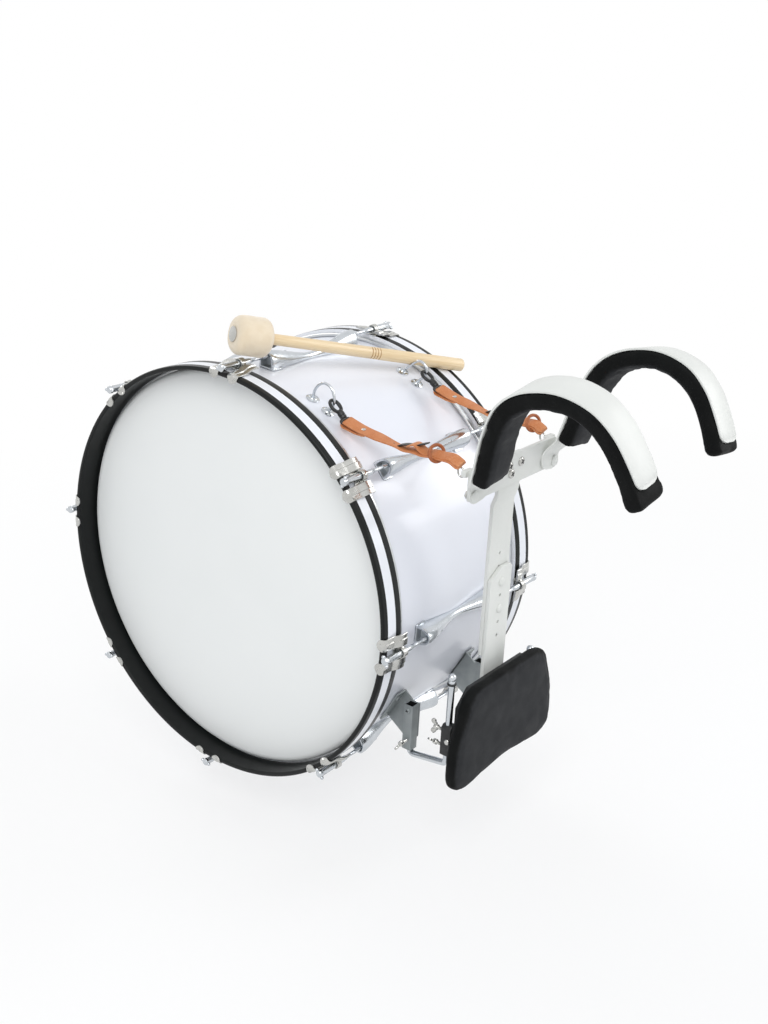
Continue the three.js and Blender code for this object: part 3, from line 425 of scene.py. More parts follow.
def new_group(name, outcome, kind, **defaults):
    """A node group that turns a Vector, and numbers and colours, into one outcome."""
    tree = bpy.data.node_groups.new(name, "ShaderNodeTree")
    tree.interface.new_socket("Vector", in_out="INPUT", socket_type=VECTOR)
    for key, value in defaults.items():
        sort = COLOUR if isinstance(value, tuple) else FLOAT
        label = key.replace("_", " ")
        socket = tree.interface.new_socket(label, in_out="INPUT", socket_type=sort)
        socket.default_value = value
    tree.interface.new_socket(outcome, in_out="OUTPUT", socket_type=kind)
    given = tree.nodes.new("NodeGroupInput").outputs
    return tree, given, tree.nodes.new("NodeGroupOutput").inputs[outcome]


def make_grain_group():
    """Fine unevenness of a painted, cast or sewn surface."""
    tree, given, result = new_group(
        "surface grain", "Normal", VECTOR, Scale=400, Height=0.0001, Detail=3
    )
    cells = noise_node(tree, given, given["Detail"])
    tree.links.new(bump_node(tree, cells, given["Height"]), result)
    return tree


def make_pore_group():
    """Small pits and pebbles, as in foam skin and leather."""
    tree, given, result = new_group("pores", "Normal", VECTOR, Scale=500, Height=0.0002)
    inputs = {"Vector": given["Vector"], "Scale": given["Scale"], "Randomness": 0.9}
    cells = add_node(tree, "ShaderNodeTexVoronoi", inputs, feature="SMOOTH_F1")
    tree.links.new(bump_node(tree, cells.outputs["Distance"], given["Height"]), result)
    return tree


def colour_mix(tree, factor, first, second):
    mix = add_node(tree, "ShaderNodeMix", data_type="RGBA")
    sockets = [s for s in mix.inputs if s.enabled]
    for socket, value in zip(sockets, (factor, first, second)):
        feed(tree, socket, value)
    return next(s for s in mix.outputs if s.type == "RGBA" and s.enabled)


def make_mottle_group():
    """Slow changes of one colour into another."""
    tree, given, result = new_group(
        "mottle", "Color", COLOUR, Color=WHITE, Other_Color=(0, 0, 0, 1), Scale=20, Share=0.5
    )
    cloud = noise_node(tree, given, CLOUD_DETAIL)
    spread = range_node(tree, cloud, 0.25, 0.75, interpolation_type="SMOOTHSTEP")
    share = math_node(tree, "MULTIPLY", spread, given["Share"])
    tree.links.new(colour_mix(tree, share, given["Color"], given["Other Color"]), result)
    return tree


def make_smudge_group():
    """Roughness that changes slowly, as on handled metal and lacquer."""
    tree, given, result = new_group(
        "smudges", "Roughness", FLOAT, Scale=15, Smooth=0.1, Rough=0.3
    )
    cloud = noise_node(tree, given, CLOUD_DETAIL)
    ends = {"To Min": given["Smooth"], "To Max": given["Rough"]}
    spread = range_node(tree, cloud, 0.2, 0.8, ends, interpolation_type="SMOOTHSTEP")
    tree.links.new(spread, result)
    return tree


def make_wear_group():
    """Another colour on rubbed corners, broken up by fine noise."""
    tree, given, result = new_group(
        "rubbed corners", "Color", COLOUR, Scale=150, Color=WHITE,
        Worn_Color=(0.5, 0.5, 0.5, 1), Amount=0.5,
    )
    shape = add_node(tree, "ShaderNodeNewGeometry")
    corners = range_node(tree, shape.outputs["Pointiness"], 0.52, 0.6)
    broken = range_node(tree, noise_node(tree, given, 6.0), 0.45, 0.6)
    both = math_node(tree, "MULTIPLY", corners, broken)
    mask = math_node(tree, "MULTIPLY", both, given["Amount"])
    tree.links.new(colour_mix(tree, mask, given["Color"], given["Worn Color"]), result)
    return tree


GRAIN = make_grain_group()
PORES = make_pore_group()
MOTTLE = make_mottle_group()
SMUDGES = make_smudge_group()
WEAR = make_wear_group()


def start_material(name):
    material = bpy.data.materials.new(name)
    material.use_nodes = True
    tree = material.node_tree
    coordinates = add_node(tree, "ShaderNodeTexCoord").outputs["Object"]
    return material, tree, tree.nodes["Principled BSDF"], coordinates


def use_group(tree, group, **inputs):
    made = tree.nodes.new("ShaderNodeGroup")
    made.node_tree = group
    for key, value in inputs.items():
        feed(tree, made.inputs[key.replace("_", " ")], value)
    return made.outputs


def tinted(tree, place, main, other, scale, share):
    """Two colours, given by their codes, that change slowly into one another."""
    codes = {"Color": colour(main), "Other_Color": colour(other)}
    return use_group(tree, MOTTLE, Vector=place, Scale=scale, Share=share, **codes)["Color"]


def rubbed(tree, place, tint, code, scale, amount):
    colours = {"Color": tint, "Worn_Color": colour(code)}
    return use_group(tree, WEAR, Vector=place, Scale=scale, Amount=amount, **colours)["Color"]


def smudged(tree, place, scale, smooth, rough):
    made = use_group(tree, SMUDGES, Vector=place, Scale=scale, Smooth=smooth, Rough=rough)
    return made["Roughness"]


def bumps(tree, place, group, scale, height, detail=None):
    more = {} if detail is None else {"Detail": detail}
    return use_group(tree, group, Vector=place, Scale=scale, Height=height, **more)["Normal"]


def dress(tree, shader, **inputs):
    """Feeds the inputs of a surface, named with underscores for spaces."""
    for key, value in inputs.items():
        feed(tree, shader.inputs[key.replace("_", " ")], value)


def stretched(tree, coordinates, place, scale):
    """Object coordinates drawn out along the X of a piece's place."""
    made = add_node(
        tree,
        "ShaderNodeMapping",
        {
            "Vector": coordinates, "Location": place.translation, "Rotation": place.to_euler(),
            "Scale": scale,
        },
        vector_type="TEXTURE",
    )
    return made.outputs["Vector"]


def surface(name, tint, gloss, relief, worn=None, **more):
    """A material of tints, smudges, a relief and wear, each given by its helper's values."""
    material, tree, shader, place = start_material(name)
    base = tinted(tree, place, *tint)
    if worn:
        base = rubbed(tree, place, base, *worn)
    if gloss:
        more["Roughness"] = smudged(tree, place, *gloss)
    dress(tree, shader, Base_Color=base, Normal=bumps(tree, place, *relief), **more)
    return material


def lacquer(name, main, other, share=0.35, rough=0.34, coat=0.3, shine=0.5):
    """Sprayed lacquer: slow colour changes, a faint orange peel and a clear coat."""
    return surface(
        name, (main, other, 6.0, share), (9.0, 0.3, rough), (GRAIN, 130.0, 0.000008, 0.0),
        Coat_Weight=coat, Coat_Roughness=0.12, Specular_IOR_Level=shine,
    )


def head_film():
    """Coated plastic film: matt, finely speckled and a little uneven in colour."""
    return surface(
        "head film", ("F3F4F2", "EEF0EE", 3.5, 0.6), (12.0, 0.42, 0.56), (GRAIN, 900.0, 0.00006),
        Specular_IOR_Level=0.35,
    )


def plated(name, main, other, smooth, rough, grain=0.00001, scale=120.0, metal=1.0):
    """Bright metal with smudges and a faint ripple from the casting or pressing."""
    tint, gloss = (main, other, 45.0, 0.7), (60.0, smooth, rough)
    return surface(name, tint, gloss, (GRAIN, scale, grain), Metallic=metal)


def powder_paint(name, main, other, worn, wear, rough=0.5):
    """Powder paint: fine texture, slow colour changes and rubbed corners."""
    tint, gloss = (main, other, 14.0, 0.6), (25.0, rough - 0.1, rough)
    return surface(name, tint, gloss, (GRAIN, 700.0, 0.00004), (worn, 220.0, wear))


def strap_leather(name, main, other, edge):
    """Vegetable-tanned leather: pebbled grain, slow changes of colour and rubbed edges."""
    tint, relief = (main, other, 55.0, 0.75), (PORES, 900.0, 0.00018)
    wear = (edge, 400.0, 0.8)
    return surface(name, tint, (80.0, 0.42, 0.66), relief, wear, Specular_IOR_Level=0.4)


def pressed_felt():
    """Wool felt: matted fibres of uneven colour with a soft nap."""
    return surface(
        "felt", ("E8D8BE", "D9C3A0", 90.0, 0.3), None, (GRAIN, 900.0, 0.0003), Roughness=1.0,
        Sheen_Weight=0.5, Sheen_Roughness=0.6,
    )


def foam_cover():
    """Closed-cell black foam: fine pores and a soft sheen, with painted light and shade: the front
    faces are painted paler and the sides darker, by a value stored on the mesh.
    """
    material, tree, shader, place = start_material("foam cover")
    # Two tints of the same black foam: a painted shade for the sides and a paler painted light for
    # the front faces.
    lit_and_shaded_tints = [
        tinted(tree, place, main, other, 28.0, 0.8)
        for main, other in (("070808", "0D0F0F"), ("27282A", "2E2F31"))
    ]
    painted_light = add_node(tree, "ShaderNodeAttribute", attribute_name="painted_light").outputs["Fac"]
    dress(
        tree, shader, Base_Color=colour_mix(tree, painted_light, *lit_and_shaded_tints),
        Roughness=smudged(tree, place, 40.0, 0.62, 0.85),
        Normal=bumps(tree, place, PORES, 700.0, 0.00022), Sheen_Weight=0.03, Sheen_Roughness=0.5,
        Specular_IOR_Level=0.12,
    )
    return material


def handle_wood(name, place, main, other):
    """Pale hardwood: long fibres and darker growth lines along the handle."""
    material, tree, shader, coordinates = start_material(name)
    drawn = stretched(tree, coordinates, place, (0.09, 0.004, 0.004))
    fibres = tinted(tree, drawn, main, other, 1.6, 0.6)
    flecks = noise_node(tree, {"Vector": drawn, "Scale": 5.0}, 3.0)
    dark = range_node(tree, flecks, 0.58, 0.75, {"To Max": 0.3})
    dress(
        tree, shader, Base_Color=colour_mix(tree, dark, fibres, colour("C49A62")),
        Roughness=smudged(tree, coordinates, 30.0, 0.35, 0.5),
        Normal=bumps(tree, drawn, GRAIN, 3.0, 0.00006), Coat_Weight=0.2, Coat_Roughness=0.2,
    )
    return material


def seen_directly(tree):
    """1 where the camera, a reflection or a see-through surface looks at it, and 0 elsewhere."""
    rays = add_node(tree, "ShaderNodeLightPath").outputs
    some = math_node(tree, "MAXIMUM", rays["Is Camera Ray"], rays["Is Glossy Ray"])
    return math_node(tree, "MAXIMUM", some, rays["Is Transmission Ray"])


def floor_paper():
    """Pale paper that fades into the white background away from the object."""
    material, tree, shader, place = start_material("floor paper")
    tint = tinted(tree, place, "F4F4F4", "F1F1F1", 2.0, 0.5)
    dress(tree, shader, Base_Color=tint, Roughness=0.85, Specular_IOR_Level=0.2)
    distance = add_node(tree, "ShaderNodeVectorMath", {0: place}, operation="LENGTH")
    ends = {"To Min": FLOOR_GLOW}
    away = distance.outputs["Value"]
    far = range_node(tree, away, FLOOR_FADE_START, FLOOR_FADE_END, ends)
    share = math_node(tree, "MULTIPLY", far, seen_directly(tree))
    glow = add_node(tree, "ShaderNodeEmission", {"Strength": 1.0}).outputs["Emission"]
    surface = tree.nodes["Material Output"].inputs["Surface"]
    mix_shaders(tree, share, shader.outputs["BSDF"], glow, surface)
    return material


FLOOR_FADE_START = 0.8
FLOOR_FADE_END = 2.6
FLOOR_GLOW = 0.68

WHITE_LACQUER = lacquer("white lacquer", "E8EAF1", "E2E5EE")
HOOP_WHITE = lacquer("hoop white", "ECEEF3", "E4E7EE")
HOOP_BLACK = lacquer("hoop black", "0E1010", "151818", 0.6, 0.45, coat=0.04, shine=0.2)
HEAD_FILM = head_film()
CHROME = plated("chrome", "CDD1D5", "BDC2C7", 0.15, 0.26)
NICKEL = plated("nickel", "C8C8C5", "B2B2AE", 0.18, 0.3)
FLESH_METAL = plated("flesh hoop metal", "D8DADB", "C9CCCE", 0.25, 0.4)
CARRIER_PAINT = powder_paint("carrier paint", "DEDFDB", "D8DAD5", "C8CAC5", 0.12)
GREY_ZINC = plated("grey zinc", "9CA1A2", "888E8F", 0.48, 0.62, 0.00003, 400.0, metal=0.55)
LUG_INSIDE = plated("cast inside", "BFC4C8", "A4A9AE", 0.36, 0.5, 0.00006, 300.0, metal=0.85)
BLACK_STEEL = powder_paint("black steel", "121314", "191B1C", "48494A", 0.4, 0.5)
# Painted shade: a near-black finish for the tubes' inner walls and the screws' cross drives, where
# only shade falls.
PAINTED_SHADE_INSIDE = powder_paint("painted shade inside", "0E0F10", "17191A", "1E2021", 0.1, 0.7)
FOAM = foam_cover()
LEATHER = strap_leather("leather", "CB8354", "BC7041", "DFA77B")
LEATHER_DARK = strap_leather("leather edge", "A9623A", "8E4D2B", "C27E50")
FELT = pressed_felt()
FLOOR_PAPER = floor_paper()


# The drum: shell, heads, hoops and claws.
BEARING_EDGE = 4.3
FILM = 0.7
COLLAR_RADIUS = 305.0
FLESH_OUTER = 309.4
FLESH_WIDTH = 9.7
HOOP_ROUND = 2.4
FRONT_STRIPE = 9.2
REAR_STRIPE = 11.8
ROUND_STEPS = 192


def make_shell():
    inner = SHELL_RADIUS - SHELL_WALL
    shoulder_x = SHELL_HALF - BEARING_EDGE
    edge_radius = SHELL_RADIUS - BEARING_EDGE - FILM
    half = [(shoulder_x, SHELL_RADIUS), (SHELL_HALF, edge_radius), (SHELL_HALF, inner)]
    profile = half + [(-x, r) for x, r in reversed(half)]
    piece(
        "shell_tube", spun(profile, ROUND_STEPS, closed=True), DRUM, "drum", [WHITE_LACQUER],
        ["shell"],
    )


def mirrored_profile(profile, side):
    return [(side * x, r) for x, r in profile]


def make_heads():
    front = HOOP_REAR - SEAT
    flat = SHELL_RADIUS - 2 * BEARING_EDGE
    film = [
        (HEAD_PLANE, 0), (HEAD_PLANE, flat * 0.5), (HEAD_PLANE, flat),
        (HEAD_PLANE - 0.6, flat + 4.2), (HEAD_PLANE - 2.4, flat + 7.4),
        (HEAD_PLANE - 4.8, COLLAR_RADIUS - 0.2), (front, COLLAR_RADIUS),
        (front, COLLAR_RADIUS - FILM), (HEAD_PLANE - 5.2, COLLAR_RADIUS - FILM - 0.2),
        (HEAD_PLANE - FILM, flat), (HEAD_PLANE - FILM, 0),
    ]
    flesh = rounded_box(front - FLESH_WIDTH, SHELL_RADIUS + SEAT, front, FLESH_OUTER, 1.6)
    for name, side in SIDES:
        parts = [
            spun(mirrored_profile(film, side), ROUND_STEPS),
            painted(spun(mirrored_profile(flesh, side), ROUND_STEPS, closed=True), 1),
        ]
        piece(
            "drum_head_" + name, joined(*parts), DRUM, "drum", [HEAD_FILM, FLESH_METAL],
            ["head_" + name],
        )


def hoop_mesh(side):
    inner = HOOP_RADIUS - HOOP_WALL
    r = HOOP_ROUND
    profile = [
        (HOOP_REAR, inner), *arc((HOOP_RIM - r, inner + r), r, -90, 0, 4),
        *arc((HOOP_RIM - r, HOOP_RADIUS - r), r, 0, 90, 4),
        (HOOP_RIM - FRONT_STRIPE, HOOP_RADIUS), (HOOP_REAR + REAR_STRIPE, HOOP_RADIUS),
        *arc((HOOP_REAR + 1, HOOP_RADIUS - 1), 1, 90, 180, 2),
    ]
    bm = spun(mirrored_profile(profile, side), ROUND_STEPS, closed=True)
    for face in bm.faces:
        middle = face.calc_center_median()
        outside = math.hypot(middle.y, middle.z) > HOOP_RADIUS - 0.5
        between = HOOP_REAR + REAR_STRIPE < abs(middle.x) < HOOP_RIM - FRONT_STRIPE
        rear = abs(middle.x) < HOOP_REAR + 0.4
        face.material_index = 0 if rear or (outside and between) else 1
    return bm


def make_hoops():
    for name, side in SIDES:
        piece(
            "counter_hoop_" + name, hoop_mesh(side), DRUM, "drum", [HOOP_WHITE, HOOP_BLACK],
            ["hoop_" + name + "_with_claws"],
        )


ARM_HALF = 9.0
ARM_SPACING = 18.0
ARM_LOW = 2.2
ARM_HIGH = 3.6
ARM_STEP_AT = -2.0
HOOK_X = 180.7
HOOK_TIP = 304.2
HOOK_THIN = 0.5
HOOK_BEND = 4.0
CLAW_REAR = 138.6
CLAW_SWELL = 5.0
WEB_HALF_FOOT = 15.0
WEB_HALF_TOP = 7.0
WEB_BACK = 145.5
WEB_THICK = 4.5
ROD_HOLE = 5.6
CLAW_SEAT = HOOP_RADIUS + 0.15
DIMPLE_ABOVE_TIP = 6.0


def claw_arm(hand):
    """One pressed arm: over the hoop's outside, round the rim and down its front."""
    top = CLAW_SEAT + 0.1
    spine = [
        Vector((CLAW_REAR, 0, top + CLAW_SWELL * 0.9)), Vector((WEB_BACK, 0, top + CLAW_SWELL)),
        Vector((WEB_BACK + 7, 0, top + CLAW_SWELL * 0.75)),
        Vector((WEB_BACK + 13, 0, top + CLAW_SWELL * 0.2)), Vector((WEB_BACK + 18, 0, top)),
    ]
    bend = bent_line(
        [spine[-1], Vector((HOOK_X, 0, top)), Vector((HOOK_X, 0, HOOK_TIP))], HOOK_BEND, 6,
    )
    down = [bend[-2].lerp(bend[-1], share) for share in (0.35, 0.6, 0.75, 0.87, 0.95, 1)]
    line = smooth_line(spine, 12) + bend[1:-1] + down
    places = along(line, AXIS_Y * hand)
    tip = line[-1].z
    shaped = []
    for place, point in zip(places, line):
        above = max(point.z - tip, 0.25) if abs(point.x - HOOK_X) < TOUCHING else ARM_HALF
        near = min(above / ARM_HALF, 1)
        width = math.sqrt(1 - (1 - near) ** 2)
        thin = 1 - (1 - HOOK_THIN) * eased_share(point.x, HOOK_X - 2 * HOOK_BEND, HOOK_X)
        shaped.append(place @ Matrix.Diagonal((width, thin, 1, 1)))
    section = [
        (-ARM_HALF, 0), (ARM_HALF, 0), (ARM_HALF, ARM_LOW - 0.6), (ARM_HALF - 0.6, ARM_LOW),
        (-ARM_STEP_AT, ARM_LOW), (-ARM_STEP_AT - 1, ARM_HIGH), (-ARM_HALF + 0.6, ARM_HIGH),
        (-ARM_HALF, ARM_HIGH - 0.6),
    ]
    outward = [(across, up * hand) for across, up in section]
    return moved(swept(outward, shaped), y=hand * ARM_SPACING)


def claw_web():
    """The upright plate that the tension rod passes through, with a collar round its hole."""
    outline = [
        (-WEB_HALF_FOOT, CLAW_SEAT), (WEB_HALF_FOOT, CLAW_SEAT),
        (WEB_HALF_FOOT * 0.9, CLAW_SEAT + 5), *arc((0, ROD_AXIS), WEB_HALF_TOP, 20, 160, 8),
        (-WEB_HALF_FOOT * 0.9, CLAW_SEAT + 5),
    ]
    plate = eased(slab(outline, WEB_THICK), 1.0)
    upright = placed(plate, basis(AXIS_Y, AXIS_Z, AXIS_X, (WEB_BACK, 0, 0)))
    lip = rounded_box(WEB_BACK - 2, ROD_HOLE, WEB_BACK + WEB_THICK + 2, WEB_HALF_TOP + 0.6, 0.7)
    collar = moved(spun(lip, 32, closed=True), z=ROD_AXIS)
    return joined(upright, collar)


def claw_floor():
    """The low plate between the arms, notched towards the rear."""
    half = ARM_SPACING - ARM_HALF + 1.5
    outline = [
        (CLAW_REAR + 6, 0), (CLAW_REAR, half * 0.55), (CLAW_REAR + 1, half),
        (WEB_BACK + 19, half), (WEB_BACK + 14, half * 0.4), (WEB_BACK + 14, -half * 0.4),
        (WEB_BACK + 19, -half), (CLAW_REAR + 1, -half), (CLAW_REAR, -half * 0.55),
    ]
    return moved(eased(slab(outline, 1.8), 0.5), z=CLAW_SEAT)


def claw_dimple(hand):
    """A pressed dot on the hook's front."""
    dot = [(0, 0), (0.9, 0), (0.7, 1.4), (0.2, 2.2), (-0.6, 2.4), (-0.6, 0)]
    front = HOOK_X + ARM_HIGH * HOOK_THIN - 0.4
    return moved(spun(dot, 16), front, hand * ARM_SPACING, HOOK_TIP + DIMPLE_ABOVE_TIP)


def make_claws():
    for side_name, side in SIDES:
        for k in range(LUGS):
            parts = [claw_web(), claw_floor()]
            for hand in (-1, 1):
                parts += [claw_arm(hand), claw_dimple(hand)]
            piece(
                f"claw_{side_name}_{k + 1}", joined(*parts),
                lug_frame(k, side), "drum", [NICKEL],
            )


# Lugs and tension rods.
LUG_HALF = 95.0
LUG_HALF_WIDTH = 13.0
LUG_RISE = 27.0
WAIST_HALF_WIDTH = 5.5
WAIST_RISE = 9.0
LUG_WALL = 3.2
MOUTH_DEPTH = 12.0
FOOT_HALF_WIDTH = 15.0
FOOT_LENGTH = 22.0
FOOT_THICK = 2.2


def lug_fullness(share):
    """How full the casting is at a share of the way to its mouth."""
    bulb = max(0.0, min(1.0, (share - 0.06) / 0.86))
    return 0.55 * bulb + 0.45 * ease(bulb)


def lug_section():
    """The arch of the casting for a half width and a rise of 1."""
    lower = [(1, 0), (1, 0.3)]
    crown = [(x, 0.3 + 0.7 * y) for x, y in arc((0, 0), 1, 12, 168, 12)]
    return lower + crown + [(-1, 0.3), (-1, 0)]


def lug_half_mesh():
    stations = []
    steps = 22
    for k in range(steps + 1):
        share = k / steps
        full = lug_fullness(share)
        half = WAIST_HALF_WIDTH + full * (LUG_HALF_WIDTH - WAIST_HALF_WIDTH)
        rise = WAIST_RISE + full * (LUG_RISE - WAIST_RISE)
        place = basis(AXIS_Y, AXIS_Z, AXIS_X, (share * LUG_HALF, 0, SHELL_RADIUS))
        stations.append(place @ Matrix.Diagonal((half, rise, 1, 1)))
    bm = swept(lug_section(), stations)
    mouth = max(bm.faces, key=lambda f: f.calc_center_median().x if len(f.verts) > 4 else -1)
    bmesh.ops.inset_region(bm, faces=[mouth], thickness=LUG_WALL, use_even_offset=True)
    sunk(bm, mouth, (-MOUTH_DEPTH, 0, 0))
    waist = [f for f in bm.faces if all(abs(v.co.x) < TOUCHING for v in f.verts)]
    bmesh.ops.delete(bm, geom=waist, context="FACES")
    bmesh.ops.mirror(bm, geom=bm.verts[:] + bm.edges[:] + bm.faces[:], axis="X")
    bmesh.ops.remove_doubles(bm, verts=bm.verts, dist=TOUCHING)
    return eased(faced(bm), 0.7, 2, 40)


def lug_foot(end):
    near = LUG_HALF - FOOT_LENGTH
    outline = rounded_box(near, -FOOT_HALF_WIDTH, LUG_HALF, FOOT_HALF_WIDTH, 4, 4)
    foot = eased(slab(outline, FOOT_THICK), 0.6, 2, 50)
    turned = Matrix.Rotation(0 if end > 0 else math.pi, 4, "Z")
    return placed(foot, turned @ Matrix.Translation((0, 0, SHELL_RADIUS + 0.1)))


def make_lugs():
    for k in range(LUGS):
        piece(
            f"lug_casting_{k + 1}", joined(lug_half_mesh(), lug_foot(-1), lug_foot(1)),
            lug_frame(k, 1), "drum", [CHROME, LUG_INSIDE],
            [f"lug_{k + 1}"],
        )


ROD_TIP = 55.0
ROD_RADIUS = 2.7
SLEEVE_RADIUS = 5.1
SLEEVE_START = 125.0
COLLAR_X = 182.6
HANDLE_TURN_SHARES = (0.08, 0.3, 0.62, 0.15, 0.66, 0.02, 0.45, 0.8)


def t_rod_mesh(turn_share):
    """Threaded rod, tapered sleeve, collar and a cross handle with a ball on each end."""
    rod = [(ROD_TIP, 0), (ROD_TIP, ROD_RADIUS - 0.6), (ROD_TIP + 0.8, ROD_RADIUS - 0.3)]
    x = ROD_TIP + 2
    while x < LUG_HALF - MOUTH_DEPTH + 22:
        rod += [(x, ROD_RADIUS - 0.25), (x + 0.6, ROD_RADIUS)]
        x += 1.2
    rod += [
        (SLEEVE_START - 6, ROD_RADIUS - 0.1), (SLEEVE_START, ROD_RADIUS),
        (SLEEVE_START + 1.2, ROD_RADIUS + 0.8), (SLEEVE_START + 8, SLEEVE_RADIUS - 0.9),
        (SLEEVE_START + 22, SLEEVE_RADIUS - 0.2), (COLLAR_X - 1.4, SLEEVE_RADIUS),
        (COLLAR_X - 0.6, SLEEVE_RADIUS + 0.6), (COLLAR_X, 5.5), (COLLAR_X + 1, 5.7),
        (COLLAR_X + 3.6, 5.7), (COLLAR_X + 4.8, 4.6), (COLLAR_X + 5.1, 0),
    ]
    bar_x = COLLAR_X + 2.6
    bar = [(-6.6, 0), (-6.6, 2.1), (6.6, 2.1), (6.6, 0)]
    cross = placed(spun(bar, 16), basis(AXIS_Z, AXIS_Y, -AXIS_X, (bar_x, 0, 0)))
    parts = [spun(rod, 20), cross]
    for end in (-1, 1):
        ball = bmesh.new()
        bmesh.ops.create_uvsphere(ball, u_segments=16, v_segments=10, radius=2.8)
        parts.append(moved(ball, bar_x, 0, end * 6.6))
    whole = placed(joined(*parts), Matrix.Rotation(turn_share * math.pi, 4, "X"))
    return moved(whole, z=ROD_AXIS)


def make_t_rods():
    for side_name, side in SIDES:
        for k in range(LUGS):
            name = f"t_rod_{side_name}_{k + 1}"
            piece(
                f"tension_rod_{side_name}_{k + 1}", t_rod_mesh(HANDLE_TURN_SHARES[k]),
                lug_frame(k, side), name + "_body", [CHROME], [name],
            )


# Strap anchors, snap hooks and straps.
ANCHOR_X = 102.0
ANCHOR_ANGLES = (115.0, 120.8)
BAIL_WIRE = 2.0
BAIL_RISE = 34.0
BAIL_SHARES = {
    -1: (
        (-1, 0.06), (-1.12, 0.28), (-1.1, 0.5), (-0.88, 0.76), (-0.5, 0.94), (0, 1), (0.5, 0.95),
        (0.88, 0.8), (1.16, 0.6), (1.24, 0.38), (1.16, 0.2), (1, 0.06),
    ),
    1: (
        (-0.95, 0.06), (-0.66, 0.32), (-0.44, 0.51), (-0.22, 0.73), (0.16, 0.94), (0.65, 1),
        (1.15, 0.94), (1.4, 0.77), (1.38, 0.5), (1.15, 0.24), (0.95, 0.06),
    ),
}
HOOK_WIRE = 2.5
HOOK_RING_LONG = 25.0
HOOK_RING_WIDE = 16.0
HOOK_BARREL = 5.0
HOOK_BARREL_LONG = 8.0
HOOK_EYE_LONG = 12.0
STRAP_STARTS = {-1: (129.4, 314.4), 1: (128.1, 325.0)}
STRAP_WIDTH = 20.0
STRAP_END_Z = 219.0
EYE_BACK = -CROSSBAR_FRONT + BAR_THICK + 7.0
ON_SHELL = SHELL_RADIUS + SEAT


def bail_line(hand):
    middle = sum(ANCHOR_ANGLES) / 2
    span = math.radians((ANCHOR_ANGLES[1] - ANCHOR_ANGLES[0]) / 2) * ON_SHELL
    return [
        polar(hand * ANCHOR_X, ON_SHELL + up * BAIL_RISE, middle)
        + polar(0, across * span, middle + 90) for across, up in BAIL_SHARES[hand]
    ]


def dished_washer(hand, angle):
    profile = [
        (0, 0), (0, 9.6), (0.7, 9.9), (1.2, 9.2), (1.6, 6.6), (2.6, 5.4), (3.4, 5.0), (3.6, 3.2),
        (5.4, 3.0), (5.6, 2.2), (5.6, 0),
    ]
    return placed(spun(profile, 32), radial_frame(hand * ANCHOR_X, ON_SHELL - 0.1, angle))


def make_anchors():
    for name, hand in SIDES:
        line = smooth_line(bail_line(hand), 60)
        bail = swept(circle(BAIL_WIRE, 14), along(line, AXIS_X))
        washers = [dished_washer(hand, angle) for angle in ANCHOR_ANGLES]
        piece(
            "strap_anchor_" + name, joined(bail, *washers), DRUM, "drum", [CHROME],
            ["anchor_" + name],
        )


def hook_places(hand):
    """The snap hook's way, its flat side, the middles of its ring and eye, and its ring's end."""
    angle, radius = STRAP_STARTS[hand]
    start = polar(hand * ANCHOR_X, radius, angle)
    upper, lower = bail_line(hand)[-4:-2]
    leg = upper.lerp(lower, 0.5)
    way = (start - leg).normalized()
    wide = (AXIS_X - way * way.x).normalized()
    leg_way = (lower - upper).normalized()
    hold = (BAIL_WIRE + 0.4) / way.cross(leg_way).length
    ring = leg + way * (HOOK_RING_LONG / 2 - 2 * HOOK_WIRE - hold)
    ring_end = ring + way * (HOOK_RING_LONG / 2)
    barrel_end = ring_end + way * HOOK_BARREL_LONG
    eye = barrel_end + way * (HOOK_EYE_LONG / 2 - HOOK_WIRE / 2)
    return way, wide, ring, ring_end, eye


def wire_loop(middle, way, wide, half_long, half_wide, wire):
    """A closed loop of wire."""
    line = []
    steps = 40
    for k in range(steps):
        turn = FULL_TURN * k / steps
        long, across = half_long * math.cos(turn), half_wide * math.sin(turn)
        line.append(middle + way * long + wide * across)
    return swept(circle(wire, 12), along(line, way.cross(wide), closed=True), closed=True)


def make_snap_hooks():
    for name, hand in SIDES:
        way, wide, ring, ring_end, eye = hook_places(hand)
        barrel = [
            (-2 * HOOK_WIRE, 0), (-2 * HOOK_WIRE, 3.8), (0, HOOK_BARREL),
            (HOOK_BARREL_LONG * 0.45, HOOK_BARREL), (HOOK_BARREL_LONG * 0.5, HOOK_BARREL - 0.9),
            (HOOK_BARREL_LONG * 0.6, HOOK_BARREL - 0.9), (HOOK_BARREL_LONG * 0.65, HOOK_BARREL),
            (HOOK_BARREL_LONG, HOOK_BARREL - 0.4), (HOOK_BARREL_LONG + 0.5, 0),
        ]
        half_ring = HOOK_RING_LONG / 2 - HOOK_WIRE
        half_eye = HOOK_EYE_LONG / 2 - HOOK_WIRE
        parts = [
            wire_loop(ring, way, wide, half_ring, HOOK_RING_WIDE / 2, HOOK_WIRE),
            placed(spun(barrel, 20), pointing(ring_end, way, wide)),
            wire_loop(eye, way, wide, half_eye, 9.5, HOOK_WIRE - 0.3),
        ]
        gate = [(-9, 0), (-9, 1.3), (7, 1.3), (8, 0)]
        gate_at = ring + wide * (HOOK_RING_WIDE / 2 - 2.6)
        parts.append(placed(spun(gate, 12), pointing(gate_at, way, wide)))
        piece(
            "swivel_hook_" + name, joined(*parts), DRUM, "drum", [BLACK_STEEL],
            ["snap_hook_" + name],
        )


def on_carrier(point):
    return DRUM.inverted() @ CARRIER @ point


